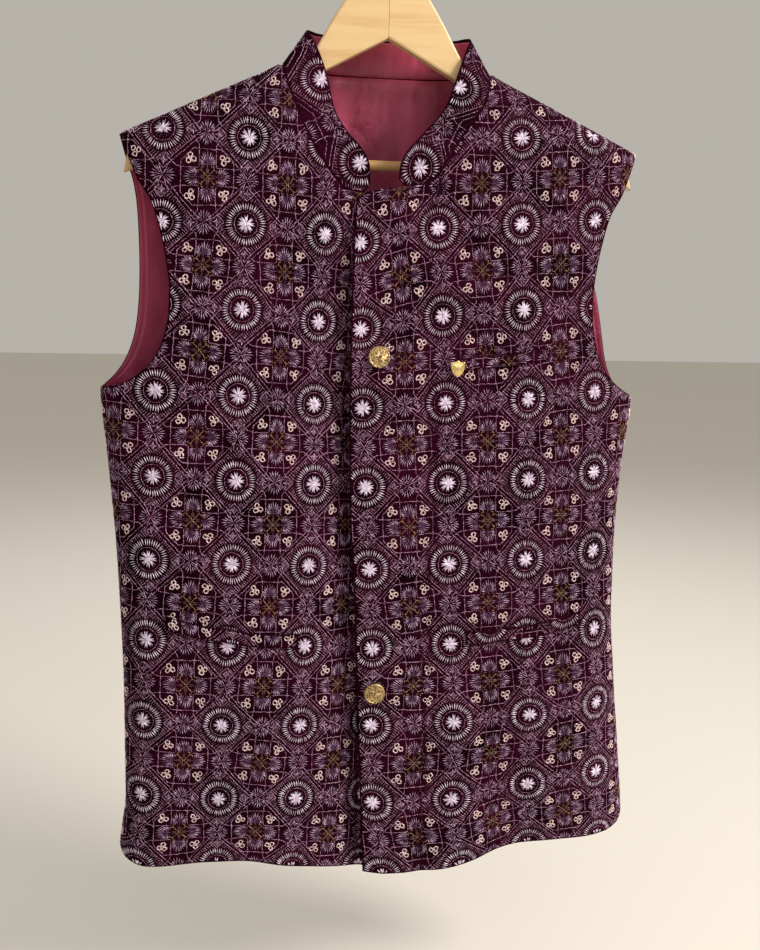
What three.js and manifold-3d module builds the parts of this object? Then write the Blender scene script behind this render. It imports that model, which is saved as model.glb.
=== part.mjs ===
// Nehru jacket of embroidered velvet, buttoned on a wooden suit hanger.
// Millimetres, +Z up. The front faces -Y and +X is the right as seen from the front.
// The origin is where a rail carries the hook, on the inside of its crown.
import * as THREE from 'three';
import { mergeVertices } from 'three/addons/utils/BufferGeometryUtils.js';
import Module from 'manifold-3d';

const wasm = await Module();
wasm.setup();

// Cloth walls and the gaps between pieces
const frontWall = 2.0;
const backWall = 1.8;
const liningWall = 1.0;
const collarWall = 2.0;
const weltWall = 1.6;
const gap = 0.3;
const weltLift = 0.6;

// Body block: where the shoulders start and end, and the fullness of a section
const neckPoint = { x: 89, z: -146 };
const shoulderTip = { x: 226, z: -209 };
const underarmHeight = -421;
const topHeight = -149;
const hemHeight = -866;
const hemWarpStart = -700;
const sectionPower = 2.4;
// The neck is buttoned a little off centre below this height
const centreShift = -5.5;
const shiftTop = -165;
const shiftRun = 45;
// The right underarm sits lower than the left one, over this reach up and down
const sideDrop = 5;
const sideDropReach = 90;
const underarmSide = 115;

// One row for each height: half widths to the left and right, and how far the cloth bellies out
const sections = [
  { z: -146, left: 226, right: 226, front: 10, back: 36 },
  { z: -165, left: 226, right: 226, front: 21, back: 39 },
  { z: -184, left: 226, right: 226, front: 29, back: 41 },
  { z: -209, left: 226, right: 226, front: 35, back: 43 },
  { z: -300, left: 229, right: 226, front: 41, back: 46 },
  { z: -421, left: 245, right: 234, front: 46, back: 47 },
  { z: -486, left: 239.5, right: 228, front: 47, back: 46 },
  { z: -557, left: 234, right: 225, front: 47, back: 45 },
  { z: -621, left: 231, right: 226, front: 46, back: 44 },
  { z: -701, left: 229, right: 233, front: 45, back: 43 },
  { z: -803, left: 229, right: 243, front: 43, back: 42 },
  { z: -866, left: 235, right: 248, front: 40, back: 41 },
];

// Armhole edges of the front, and of the back on each side, from the shoulder tip to the underarm
const armhole = [
  { z: -209, front: 226, backLeft: 226, backRight: 226 },
  { z: -226, front: 219, backLeft: 222, backRight: 221 },
  { z: -247, front: 210, backLeft: 216, backRight: 211 },
  { z: -265, front: 199, backLeft: 213.5, backRight: 205 },
  { z: -284, front: 193, backLeft: 212.5, backRight: 201 },
  { z: -312, front: 187, backLeft: 212, backRight: 201 },
  { z: -335, front: 184.5, backLeft: 212.5, backRight: 206 },
  { z: -355, front: 185, backLeft: 214, backRight: 210 },
  { z: -372, front: 188, backLeft: 216.5, backRight: 213 },
  { z: -388, front: 194, backLeft: 221, backRight: 216 },
  { z: -401, front: 203, backLeft: 227, backRight: 220 },
  { z: -411, front: 215, backLeft: 234, backRight: 225 },
  { z: -421, front: 234, backLeft: 244, backRight: 233 },
];

// Inner edge of each front: down the neckline, along the top of the overlap, down the centre
const frontEdges = [
  { z: -149, under: -88.9, over: 88.9 },
  { z: -158, under: -87.5, over: 87.5 },
  { z: -173, under: -83, over: 82 },
  { z: -190, under: -77, over: 71 },
  { z: -207, under: -69.5, over: 58.5 },
  { z: -228, under: -56.5, over: 45.5 },
  { z: -239, under: -49.4, over: 37.5 },
  { z: -243.8, under: -45.4, over: 29.5 },
  { z: -246.4, under: -43.1, over: 18 },
  { z: -249, under: -40.5, over: -5.5 },
  { z: -252.5, under: -30, over: -21 },
  { z: -255, under: -12, over: -24.6 },
  { z: -258, under: 4, over: -27.5 },
  { z: -260.5, under: 13, over: -28.6 },
  { z: -264, under: 18, over: -29.5 },
  { z: -285, under: 20, over: -31 },
  { z: -427, under: 20, over: -33 },
  { z: -496, under: 20, over: -32 },
  { z: -603, under: 21, over: -26 },
  { z: -696, under: 22, over: -22 },
  { z: -866, under: 24, over: -13 },
];

// Height of the hem across the fronts and across the back
const frontHem = [
  { x: -236, z: -842 },
  { x: -229, z: -852 },
  { x: -212, z: -857 },
  { x: -179, z: -856 },
  { x: -116, z: -849 },
  { x: -70, z: -855 },
  { x: -20, z: -861 },
  { x: 10, z: -866 },
  { x: 50, z: -866 },
  { x: 88, z: -858 },
  { x: 117, z: -851 },
  { x: 177, z: -846 },
  { x: 225, z: -845 },
  { x: 241, z: -840 },
  { x: 249, z: -828 },
];
const backHem = [
  { x: -236, z: -842 },
  { x: -160, z: -851 },
  { x: 0, z: -855 },
  { x: 160, z: -846 },
  { x: 249, z: -828 },
];

// Largest folds: where each lies, where it starts and ends, its half width and its height
const frontFolds = [
  { x: -206, lean: 0.05, top: -560, bottom: -980, width: 26, rise: 5 },
  { x: -150, lean: 0.08, top: -650, bottom: -1000, width: 24, rise: -7 },
  { x: -88, lean: 0.02, top: -640, bottom: -980, width: 26, rise: 6 },
  { x: -150, lean: -0.25, top: -300, bottom: -560, width: 30, rise: 4 },
  { x: 74, lean: -0.03, top: -640, bottom: -1000, width: 26, rise: 6 },
  { x: 124, lean: -0.04, top: -620, bottom: -980, width: 24, rise: -6 },
  { x: 190, lean: -0.06, top: -560, bottom: -980, width: 28, rise: 6 },
  { x: 140, lean: 0.25, top: -300, bottom: -540, width: 28, rise: 4 },
];
const backFolds = [
  { x: -150, lean: 0.04, top: -520, bottom: -980, width: 34, rise: 6 },
  { x: -62, lean: 0.02, top: -600, bottom: -1000, width: 30, rise: -5 },
  { x: 58, lean: -0.02, top: -560, bottom: -980, width: 34, rise: 6 },
  { x: 150, lean: -0.04, top: -600, bottom: -1000, width: 32, rise: -6 },
  { x: 0, lean: 0.02, top: -220, bottom: -520, width: 40, rise: -4 },
];
const foldFade = 120;

// Rows and columns of the panels' grids: rows close where an edge turns, wide where the cloth
// hangs straight, and columns closer towards a side seam, where it turns round
const rowHeights = [
  topHeight, -158, -168, -180, -194, shoulderTip.z, -215, -224, -236, -245, -248, -251, -254, -257,
  -260.5, -264, -274, -290, -314, -338, -358, -374, -388, -400, -410, -416, underarmHeight, -442, -472,
  -508, -548, -590, -630, -668, hemWarpStart, -735, -770, -805, -835, -855, hemHeight,
];
const frontColumns = 14;
const backColumns = 20;
const sideCrowding = 1.7;
const evenShare = 0.35;
// Rows and columns by which the back's lining stops short of its edges
const liningRowsIn = 1;
const liningColumnsIn = 2;

// The overlapping front stands off the one below it
const overlapLift = 3.6;
const overlapEnd = 44;
const overlapFull = 24;

// Collar, from the centre front to the centre back: seam on the neckline, and top edge. Its
// right end sits a little higher than its left one
const collarHalf = [
  { seamX: 17, seamZ: -253, rightSeamZ: -246.6, topX: 12.5, topY: -39.5, topZ: -246, rightTopZ: -241.5 },
  { seamX: 21, seamZ: -252.8, rightSeamZ: -246.2, topX: 12.8, topY: -39.5, topZ: -237, rightTopZ: -235 },
  { seamX: 27, seamZ: -252, rightSeamZ: -245.5, topX: 13.6, topY: -39, topZ: -230, rightTopZ: -229.5 },
  { seamX: 35, seamZ: -249, rightSeamZ: -243.7, topX: 16, topY: -38, topZ: -223.5 },
  { seamX: 43, seamZ: -240, rightSeamZ: -238.9, topX: 21, topY: -36.5, topZ: -216 },
  { seamX: 51, seamZ: -228, topX: 30, topY: -33, topZ: -206 },
  { seamX: 64, seamZ: -207, topX: 41, topY: -28, topZ: -192 },
  { seamX: 74, seamZ: -190, topX: 48.5, topY: -22.5, topZ: -178.5 },
  { seamX: 82.5, seamZ: -173, topX: 53.5, topY: -17, topZ: -162 },
  { seamX: 87.5, seamZ: -158, topX: 60, topY: -12, topZ: -143 },
  { seamX: 88.9, seamZ: -150, topX: 66, topY: -6, topZ: -128 },
  { seamX: 89.5, seamY: 0, seamZ: -146, topX: 71, topY: 3, topZ: -118 },
  { seamX: 87, seamY: 13, seamZ: -146.5, topX: 70, topY: 13, topZ: -115 },
  { seamX: 70, seamY: 26, seamZ: -147, topX: 60, topY: 25.5, topZ: -115 },
  { seamX: 39, seamY: 34, seamZ: -147.5, topX: 36, topY: 33, topZ: -115.5 },
  { seamX: 0, seamY: 36.5, seamZ: -147.5, topX: 0, topY: 35.5, topZ: -116 },
];
// Shares of the height from the seam line: where the collar starts, and its lining's two edges
const collarStart = 0.03;
const collarLiningStart = 0.06;
const collarLiningEnd = 0.92;
const neckSeam = 0.9;
// Behind, the top edge leans over to the right
const topShift = 2.5;
const topShiftStart = -200;
const topShiftRun = 60;

// Welt pockets: the two ends of the middle line, its sag and the welt's height
const welts = [
  { name: 'chest_welt', x0: 58, z0: -396.5, x1: 143, z1: -385.5, sag: 1, height: 10 },
  { name: 'lower_welt_left', x0: -189, z0: -625, x1: -75, z1: -640, sag: 4, height: 12 },
  { name: 'lower_welt_right', x0: 76, z0: -641, x1: 185, z1: -628, sag: 3, height: 12 },
];

// Buttons and the pin
const buttonPlaces = [
  { name: 'button_upper', x: -9, z: -390 },
  { name: 'button_lower', x: -7, z: -688 },
];
const buttonRadius = 9.5;
const shankRadius = 2.5;
const shankLength = 1.6;
// Half section of a button, from the edge of its back over the rim to the middle of the dome:
// how far in from the radius, and how far up from the back
const buttonSection = [
  { inward: 1.2, up: 0 },
  { inward: 0, up: 0.9 },
  { inward: 0, up: 2.2 },
  { inward: 0.8, up: 3.0 },
  { inward: 1.8, up: 2.5 },
  { inward: 4.75, up: 3.1 },
  { inward: 9.5, up: 3.3 },
];
const pinPlace = { x: 60, z: -399.5 };
const pinWidth = 12.5;
const pinHeight = 14.5;
const pinThickness = 1.4;
const pinBevel = 0.4;
// Corners and handles of the shield's curves, as shares of its half width and half height
const pinCorner = 0.82;
const pinTopHandle = { x: 0.5, z: 0.86 };
const pinSideHandle = { x: 1.05, z: -0.2 };
const pinFootHandle = { x: 0.7, z: -0.62 };

// Hanger of solid wood, with a round trouser bar and a wire hook
const woodThickness = 12;
const woodBevel = 2;
const sawGap = 0.3;
const barRadius = 4.5;
const barHeight = -227;
const barHalfLength = 211;
const wireRadius = 1.6;
const hookRadius = 19.6;
const hookCentre = { x: 0, z: -18 };
const hookFrom = -22;
const hookSweep = 225;
const shankFoot = -84;
const humpTop = -66;
// The wire leaves the wood, bends out to the side and meets the crown
const wireBend = [
  { x: 0, z: shankFoot },
  { x: 0, z: humpTop + 2 },
  { x: 0, z: -56 },
  { x: 3.5, z: -47.5 },
  { x: 12.5, z: -36 },
];
// Upper edge of the right half, from the hump to the end of the arm
const woodUpper = [
  { x: 0, z: humpTop },
  { x: 14, z: -68.5 },
  { x: 27, z: -78 },
  { x: 38, z: -93 },
  { x: 50, z: -112 },
  { x: 62, z: -133 },
  { x: 75, z: -150 },
  { x: 93, z: -161 },
  { x: 150, z: -184 },
  { x: 213, z: -211 },
];
const woodEnd = [
  { x: 216.5, z: -214.5 },
  { x: 219.5, z: -226 },
  { x: 222.5, z: -240.5 },
  { x: 214.5, z: -237 },
];
const woodApex = { x: 0, z: -122 };
const drillLength = 40;

// Straight sides in a full turn
const buttonSides = 28;
const barSides = 20;
const drillSides = 16;
const wireSides = 10;

const velvet = new THREE.MeshStandardMaterial({ color: 0x43182a, roughness: 0.95 });
const satin = new THREE.MeshStandardMaterial({ color: 0x832f4a, roughness: 0.4 });
const brass = new THREE.MeshStandardMaterial({ color: 0xbc9a70, roughness: 0.35, metalness: 1 });
const gold = new THREE.MeshStandardMaterial({ color: 0xdac88f, roughness: 0.25, metalness: 1 });
const lotusWood = new THREE.MeshStandardMaterial({ color: 0xe8c38e, roughness: 0.55 });
const steel = new THREE.MeshStandardMaterial({ color: 0xc8c8c8, roughness: 0.25, metalness: 1 });

const jacket = new THREE.Group();

function addMesh(name, geometry, material) {
  const mesh = new THREE.Mesh(geometry, material.clone());
  mesh.name = name;
  jacket.add(mesh);
}

// Smooth curve through a table's rows that never runs past them, read at one place
function readTable(table, key, column, place) {
  const last = table.length - 1;
  const way = Math.sign(table[last][key] - table[0][key]);
  const at = (i) => way * table[i][key];
  const p = way * place;
  if (p <= at(0)) return table[0][column];
  if (p >= at(last)) return table[last][column];
  let i = 0;
  while (p > at(i + 1)) i += 1;
  const secant = (j) => (table[j + 1][column] - table[j][column]) / (at(j + 1) - at(j));
  const slope = (j) => {
    if (j === 0) return secant(0);
    if (j === last) return secant(last - 1);
    const before = secant(j - 1);
    const after = secant(j);
    return before * after > 0 ? (2 * before * after) / (before + after) : 0;
  };
  const span = at(i + 1) - at(i);
  const t = (p - at(i)) / span;
  const rise = t * t * (3 - 2 * t);
  const start = table[i][column] * (1 - rise) + table[i + 1][column] * rise;
  return start + span * t * (1 - t) * ((1 - t) * slope(i) - t * slope(i + 1));
}

function smoothStep(t) {
  const c = Math.min(1, Math.max(0, t));
  return c * c * (3 - 2 * c);
}

// Half width of the body at one height: the shoulder line, then the side seam
function halfWidth(z, side) {
  if (z > shoulderTip.z) {
    const t = (neckPoint.z - z) / (neckPoint.z - shoulderTip.z);
    return neckPoint.x + t * (shoulderTip.x - neckPoint.x);
  }
  return readTable(sections, 'z', side < 0 ? 'left' : 'right', z);
}

function foldHeight(folds, x, z) {
  let total = 0;
  for (const fold of folds) {
    const into = smoothStep((fold.top - z) / foldFade);
    const out = smoothStep((z - fold.bottom) / foldFade);
    const across = (x - fold.x - fold.lean * (z - fold.top)) / fold.width;
    total += fold.rise * into * out * Math.exp(-across * across);
  }
  return total;
}

// Section of the body at one height: a flattened oval, out to the front (-1) or the back (+1)
function bodyPoint(x, z, face) {
  const q = Math.min(1, Math.abs(x) / halfWidth(z, x));
  const oval = (1 - q ** sectionPower) ** (1 / sectionPower);
  const belly = readTable(sections, 'z', face < 0 ? 'front' : 'back', z);
  const folds = foldHeight(face < 0 ? frontFolds : backFolds, x, z);
  return new THREE.Vector3(x, face * Math.max((belly + folds) * oval, gap / 2), z);
}

const towardsEnd = (t) => 1 - (1 - t) ** sideCrowding;
const towardsBothEnds = (t) => evenShare * t + (1 - evenShare) * (0.5 - 0.5 * Math.cos(Math.PI * t));

// Points along a section between two places across it, spread out by a rule of their own
function sectionRow(z, xFrom, xTo, columns, face, spread) {
  const steps = 160;
  const fine = [];
  const turnTo = (x) => Math.asin(Math.max(-1, Math.min(1, x / halfWidth(z, x))));
  const from = turnTo(xFrom);
  const to = turnTo(xTo);
  for (let i = 0; i <= steps; i += 1) {
    const turn = from + ((to - from) * i) / steps;
    fine.push(bodyPoint(halfWidth(z, turn) * Math.sin(turn), z, face));
  }
  const length = [0];
  for (let i = 1; i <= steps; i += 1) {
    length.push(length[i - 1] + fine[i].distanceTo(fine[i - 1]));
  }
  const row = [];
  let k = 0;
  for (let j = 0; j <= columns; j += 1) {
    const want = length[steps] * spread(j / columns);
    while (k < steps - 1 && length[k + 1] < want) k += 1;
    const t = (want - length[k]) / (length[k + 1] - length[k]);
    row.push(bodyPoint(fine[k].x + t * (fine[k + 1].x - fine[k].x), z, face));
  }
  return row;
}

function lowerUnderarm(point) {
  const fromUnderarm = (point.z - underarmHeight) / sideDropReach;
  const outward = smoothStep((point.x - underarmSide) / underarmSide);
  point.z -= sideDrop * outward * Math.exp(-fromUnderarm * fromUnderarm);
}

// Below the warp's start each row is let down or taken up to meet the hem
function meetHem(hem, point) {
  const low = readTable(hem, 'x', 'z', point.x);
  const t = (point.z - hemWarpStart) / (hemHeight - hemWarpStart);
  point.z = hemWarpStart + t * (low - hemWarpStart);
}

function hang(hem, point) {
  if (point.z > hemWarpStart) lowerUnderarm(point);
  else meetHem(hem, point);
}

function gridNormal(grid, i, j) {
  const rows = grid.length - 1;
  const columns = grid[0].length - 1;
  const down = grid[Math.min(i + 1, rows)][j].clone().sub(grid[Math.max(i - 1, 0)][j]);
  const across = grid[i][Math.min(j + 1, columns)].clone().sub(grid[i][Math.max(j - 1, 0)]);
  return across.cross(down).normalize();
}

// Moves a grid of points along its normals; limit keeps each point on its own side of a seam
function movedGrid(grid, distance, limit = (p) => p) {
  return grid.map((row, i) => row.map((p, j) => {
    const normal = gridNormal(grid, i, j);
    return limit(p.clone().addScaledVector(normal, distance));
  }));
}

// Closed wall between an outer and an inner grid of points
function wallGeometry(outer, inner) {
  const rows = outer.length - 1;
  const columns = outer[0].length - 1;
  const positions = [];
  const index = [];
  for (const grid of [outer, inner]) {
    for (const row of grid) {
      for (const p of row) positions.push(p.x, p.y, p.z);
    }
  }
  const o = (i, j) => i * (columns + 1) + j;
  const n = (i, j) => (rows + 1) * (columns + 1) + o(i, j);
  const quad = (a, b, c, d) => index.push(a, b, c, a, c, d);
  for (let i = 0; i < rows; i += 1) {
    for (let j = 0; j < columns; j += 1) {
      quad(o(i, j), o(i, j + 1), o(i + 1, j + 1), o(i + 1, j));
      quad(n(i, j), n(i + 1, j), n(i + 1, j + 1), n(i, j + 1));
    }
    quad(o(i, 0), o(i + 1, 0), n(i + 1, 0), n(i, 0));
    quad(o(i, columns), n(i, columns), n(i + 1, columns), o(i + 1, columns));
  }
  for (let j = 0; j < columns; j += 1) {
    quad(o(0, j), n(0, j), n(0, j + 1), o(0, j + 1));
    quad(o(rows, j), o(rows, j + 1), n(rows, j + 1), n(rows, j));
  }
  const geometry = new THREE.BufferGeometry();
  geometry.setAttribute('position', new THREE.Float32BufferAttribute(positions, 3));
  geometry.setIndex(index);
  return facingOut(geometry);
}

// Turns every face round where the volume comes out negative
function facingOut(geometry) {
  const p = geometry.attributes.position;
  const index = geometry.index.array;
  const corner = [new THREE.Vector3(), new THREE.Vector3(), new THREE.Vector3()];
  let volume = 0;
  for (let i = 0; i < index.length; i += 3) {
    for (let k = 0; k < 3; k += 1) corner[k].fromBufferAttribute(p, index[i + k]);
    volume += corner[0].dot(corner[1].clone().cross(corner[2]));
  }
  if (volume < 0) {
    for (let i = 0; i < index.length; i += 3) {
      const kept = index[i + 1];
      index[i + 1] = index[i + 2];
      index[i + 2] = kept;
    }
  }
  return geometry;
}

// Outer edge of a panel: shoulder seam, then armhole, then side seam
function outerEdge(z, side, column) {
  if (z >= shoulderTip.z || z <= underarmHeight) return side * halfWidth(z, side);
  return side * Math.min(readTable(armhole, 'z', column, z), halfWidth(z, side));
}

function overlapOffset(x) {
  return overlapLift * smoothStep((overlapEnd - x) / (overlapEnd - overlapFull));
}

function frontGrid(side) {
  const column = side < 0 ? 'under' : 'over';
  return rowHeights.map((z) => {
    const inner = readTable(frontEdges, 'z', column, z + neckSeam);
    const outer = outerEdge(z, side, 'front');
    const row = sectionRow(z, inner, outer, frontColumns, -1, towardsEnd);
    for (const p of row) {
      if (side > 0) p.y -= overlapOffset(p.x);
      hang(frontHem, p);
    }
    return row;
  });
}

// The back runs from armhole to armhole
function backGrid() {
  return rowHeights.map((z) => {
    const left = outerEdge(z, -1, 'backLeft');
    const right = outerEdge(z, 1, 'backRight');
    const row = sectionRow(z, left, right, backColumns, 1, towardsBothEnds);
    for (const p of row) hang(backHem, p);
    return row;
  });
}

const frontSide = (p) => {
  p.y = Math.min(p.y, -gap / 2);
  return p;
};
const backSide = (p) => {
  p.y = Math.max(p.y, gap / 2);
  return p;
};

// Inward is away from the faces' own normals, so its sign is read from one point
function inwardSign(grid, face) {
  const i = Math.floor(grid.length / 2);
  const j = Math.floor(grid[0].length / 2);
  return Math.sign(gridNormal(grid, i, j).y) === face ? -1 : 1;
}

function addFronts() {
  for (const side of [-1, 1]) {
    const grid = frontGrid(side);
    const inner = movedGrid(grid, frontWall * inwardSign(grid, -1), frontSide);
    addMesh(side < 0 ? 'front_left' : 'front_right', wallGeometry(grid, inner), velvet);
  }
}

function addBack() {
  const grid = backGrid();
  const inward = inwardSign(grid, 1);
  addMesh('back', wallGeometry(grid, movedGrid(grid, backWall * inward, backSide)), velvet);
  const within = (layer) => layer.slice(liningRowsIn, -liningRowsIn)
    .map((row) => row.slice(liningColumnsIn, -liningColumnsIn));
  const outer = within(movedGrid(grid, (backWall + gap) * inward, backSide));
  const inner = within(movedGrid(grid, (backWall + gap + liningWall) * inward, backSide));
  addMesh('back_lining', wallGeometry(outer, inner), satin);
}

// The neck runs off centre towards the front, as the fronts are buttoned
function neckShift(z) {
  return centreShift * smoothStep((shiftTop - z) / shiftRun);
}

// Grid of the collar: columns follow the neckline round, rows rise from the seam to the top edge
function collarGrid(from, to, rows) {
  const seam = [];
  const top = [];
  const add = (row, side) => {
    const seamZ = side > 0 && row.rightSeamZ ? row.rightSeamZ : row.seamZ;
    const topZ = side > 0 && row.rightTopZ ? row.rightTopZ : row.topZ;
    const seamY = row.seamY ?? bodyPoint(side * row.seamX, seamZ, -1).y;
    seam.push(new THREE.Vector3(side * row.seamX + neckShift(seamZ), seamY, seamZ));
    const lean = topShift * smoothStep((topZ - topShiftStart) / topShiftRun);
    top.push(new THREE.Vector3(side * row.topX + neckShift(topZ) + lean, row.topY, topZ));
  };
  for (const row of collarHalf) add(row, -1);
  for (const row of collarHalf.slice(0, -1).reverse()) add(row, 1);
  const seamCurve = new THREE.CatmullRomCurve3(seam);
  const topCurve = new THREE.CatmullRomCurve3(top);
  const columns = 3 * (seam.length - 1);
  const grid = [];
  for (let i = 0; i <= rows; i += 1) {
    const rise = from + ((to - from) * i) / rows;
    const row = [];
    for (let j = 0; j <= columns; j += 1) {
      const low = seamCurve.getPoint(j / columns);
      row.push(low.lerp(topCurve.getPoint(j / columns), rise));
    }
    grid.push(row);
  }
  return grid;
}

function addCollar() {
  const grid = collarGrid(collarStart, 1, 3);
  const middle = Math.floor(grid[0].length / 2);
  const inward = gridNormal(grid, 1, middle).y > 0 ? -1 : 1;
  addMesh('collar', wallGeometry(grid, movedGrid(grid, collarWall * inward)), velvet);
  const base = collarGrid(collarLiningStart, collarLiningEnd, 2).map((row) => row.slice(2, -2));
  const outer = movedGrid(base, (collarWall + gap) * inward);
  const inner = movedGrid(base, (collarWall + gap + liningWall) * inward);
  addMesh('collar_lining', wallGeometry(outer, inner), satin);
}

// A point of a front's outer face, with the direction that leads away from the cloth
function onFront(x, z) {
  const at = (px, pz) => {
    const p = bodyPoint(px, pz, -1);
    if (px > 0) p.y -= overlapOffset(px);
    if (px <= 0 && px > readTable(frontEdges, 'z', 'over', pz)) p.y -= overlapOffset(px);
    return p;
  };
  const reach = 4;
  const across = at(x + reach, z).sub(at(x - reach, z));
  const down = at(x, z - reach).sub(at(x, z + reach));
  const out = across.cross(down).normalize();
  if (out.y > 0) out.negate();
  return { point: at(x, z), out };
}

// A welt is a narrow band that follows its front, lifted just clear of it
function addWelts() {
  const columns = 14;
  const rows = 2;
  for (const welt of welts) {
    const inner = [];
    const outer = [];
    for (let i = 0; i <= rows; i += 1) {
      inner.push([]);
      outer.push([]);
      for (let j = 0; j <= columns; j += 1) {
        const t = j / columns;
        const x = welt.x0 + t * (welt.x1 - welt.x0);
        const middle = welt.z0 + t * (welt.z1 - welt.z0) - welt.sag * Math.sin(Math.PI * t);
        const { point, out } = onFront(x, middle + welt.height * (0.5 - i / rows));
        inner[i].push(point.clone().addScaledVector(out, weltLift));
        outer[i].push(point.clone().addScaledVector(out, weltLift + weltWall));
      }
    }
    addMesh(welt.name, wallGeometry(outer, inner), velvet);
  }
}

// Turns a shape built along +Z so that it points out of the cloth at a place on the front
function seatOnFront(geometry, place, lift) {
  const { point, out } = onFront(place.x, place.z);
  const turn = new THREE.Matrix4().lookAt(out, new THREE.Vector3(), new THREE.Vector3(0, 0, 1));
  turn.setPosition(point.addScaledVector(out, lift));
  return geometry.applyMatrix4(turn);
}

// A domed metal button with a raised rim, on a round shank
function addButtons() {
  const profile = [
    new THREE.Vector2(0, 0),
    new THREE.Vector2(shankRadius, 0),
    new THREE.Vector2(shankRadius, shankLength),
    ...buttonSection.map((p) => new THREE.Vector2(buttonRadius - p.inward, shankLength + p.up)),
  ];
  for (const place of buttonPlaces) {
    const lathe = mergedSolid(new THREE.LatheGeometry(profile, buttonSides));
    lathe.rotateX(Math.PI / 2);
    addMesh(place.name, facingOut(seatOnFront(lathe, place, gap)), brass);
  }
}

// A plain shield, pinned through the end of the chest welt
function addPin() {
  const w = pinWidth / 2;
  const h = pinHeight / 2;
  const corner = h * pinCorner;
  const top = { x: w * pinTopHandle.x, z: h * pinTopHandle.z };
  const side = { x: w * pinSideHandle.x, z: h * pinSideHandle.z };
  const foot = { x: w * pinFootHandle.x, z: h * pinFootHandle.z };
  const shield = new THREE.Shape();
  shield.moveTo(-w, corner);
  shield.quadraticCurveTo(-top.x, top.z, 0, h);
  shield.quadraticCurveTo(top.x, top.z, w, corner);
  shield.bezierCurveTo(side.x, side.z, foot.x, foot.z, 0, -h);
  shield.bezierCurveTo(-foot.x, foot.z, -side.x, side.z, -w, corner);
  const plate = mergedSolid(new THREE.ExtrudeGeometry(shield, {
    depth: pinThickness - 2 * pinBevel,
    bevelThickness: pinBevel,
    bevelSize: pinBevel,
    bevelOffset: -pinBevel,
    bevelSegments: 1,
    curveSegments: 5,
  }));
  plate.translate(0, 0, pinBevel);
  addMesh('shield_pin', facingOut(seatOnFront(plate, pinPlace, weltLift + weltWall + gap)), gold);
}

function mergedSolid(geometry) {
  geometry.deleteAttribute('normal');
  geometry.deleteAttribute('uv');
  return mergeVertices(geometry, 1e-4);
}

function toManifold(geometry) {
  const merged = facingOut(mergedSolid(geometry));
  return new wasm.Manifold(new wasm.Mesh({
    numProp: 3,
    vertProperties: new Float32Array(merged.attributes.position.array),
    triVerts: new Uint32Array(merged.index.array),
  }));
}

function fromManifold(solid) {
  const mesh = solid.getMesh();
  const geometry = new THREE.BufferGeometry();
  geometry.setAttribute('position', new THREE.BufferAttribute(mesh.vertProperties, 3));
  geometry.setIndex(new THREE.BufferAttribute(mesh.triVerts, 1));
  return geometry;
}

// The whole outline of the hanger's wood, both halves in one
function woodOutline() {
  const right = woodUpper.map((p) => new THREE.Vector2(p.x, p.z));
  const left = woodUpper.slice(1).reverse().map((p) => new THREE.Vector2(-p.x, p.z));
  const shape = new THREE.Shape();
  shape.moveTo(left[0].x, left[0].y);
  shape.splineThru([...left.slice(1), ...right]);
  for (const p of woodEnd) shape.lineTo(p.x, p.z);
  shape.lineTo(woodApex.x, woodApex.z);
  for (const p of [...woodEnd].reverse()) shape.lineTo(-p.x, p.z);
  shape.closePath();
  return shape;
}

// A round rod of this radius and length, along X at the bar's height
function barRod(radius, length) {
  const rod = new THREE.CylinderGeometry(radius, radius, length, barSides);
  rod.rotateZ(Math.PI / 2);
  rod.translate(0, 0, barHeight);
  return rod;
}

// Both halves are cut from one board, socketed for the bar and drilled for the hook
function addHanger() {
  const wood = new THREE.ExtrudeGeometry(woodOutline(), {
    depth: woodThickness - 2 * woodBevel,
    bevelThickness: woodBevel,
    bevelSize: woodBevel,
    bevelOffset: -woodBevel,
    bevelSegments: 2,
    curveSegments: 3,
  });
  wood.translate(0, 0, woodBevel - woodThickness / 2);
  wood.rotateX(Math.PI / 2);
  const socket = barRod(barRadius + gap, 2 * (barHalfLength + gap));
  const drillRadius = wireRadius + gap;
  const drill = new THREE.CylinderGeometry(drillRadius, drillRadius, drillLength, drillSides);
  drill.rotateX(Math.PI / 2);
  drill.translate(0, 0, shankFoot - gap + drillLength / 2);
  const whole = toManifold(wood).subtract(toManifold(socket)).subtract(toManifold(drill));
  const blockWidth = 240;
  const blockHeight = 2 * blockWidth;
  for (const side of [-1, 1]) {
    const block = new THREE.BoxGeometry(blockWidth, 4 * woodThickness, blockHeight);
    block.translate(side * (blockWidth / 2 + sawGap / 2), 0, woodApex.z);
    const arm = fromManifold(whole.intersect(toManifold(block)));
    addMesh(side < 0 ? 'hanger_arm_left' : 'hanger_arm_right', arm, lotusWood);
  }
  addMesh('hanger_bar', mergedSolid(barRod(barRadius, 2 * barHalfLength)), lotusWood);
}

// Wire hook: a straight shank, a bend out to the side, and the crown over the rail
function addHook() {
  const points = wireBend.map((p) => new THREE.Vector3(p.x, 0, p.z));
  const turns = 10;
  for (let i = 0; i <= turns; i += 1) {
    const angle = THREE.MathUtils.degToRad(hookFrom + (hookSweep * i) / turns);
    const x = hookCentre.x + hookRadius * Math.cos(angle);
    const z = hookCentre.z + hookRadius * Math.sin(angle);
    points.push(new THREE.Vector3(x, 0, z));
  }
  const section = new THREE.Shape();
  for (let i = 0; i < wireSides; i += 1) {
    const angle = (2 * Math.PI * i) / wireSides;
    const x = wireRadius * Math.cos(angle);
    const y = wireRadius * Math.sin(angle);
    if (i === 0) section.moveTo(x, y);
    else section.lineTo(x, y);
  }
  const hook = new THREE.ExtrudeGeometry(section, {
    steps: 44,
    extrudePath: new THREE.CatmullRomCurve3(points),
  });
  addMesh('hook', facingOut(mergedSolid(hook)), steel);
}

addFronts();
addBack();
addCollar();
addWelts();
addButtons();
addPin();
addHanger();
addHook();

export default jacket;
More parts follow.
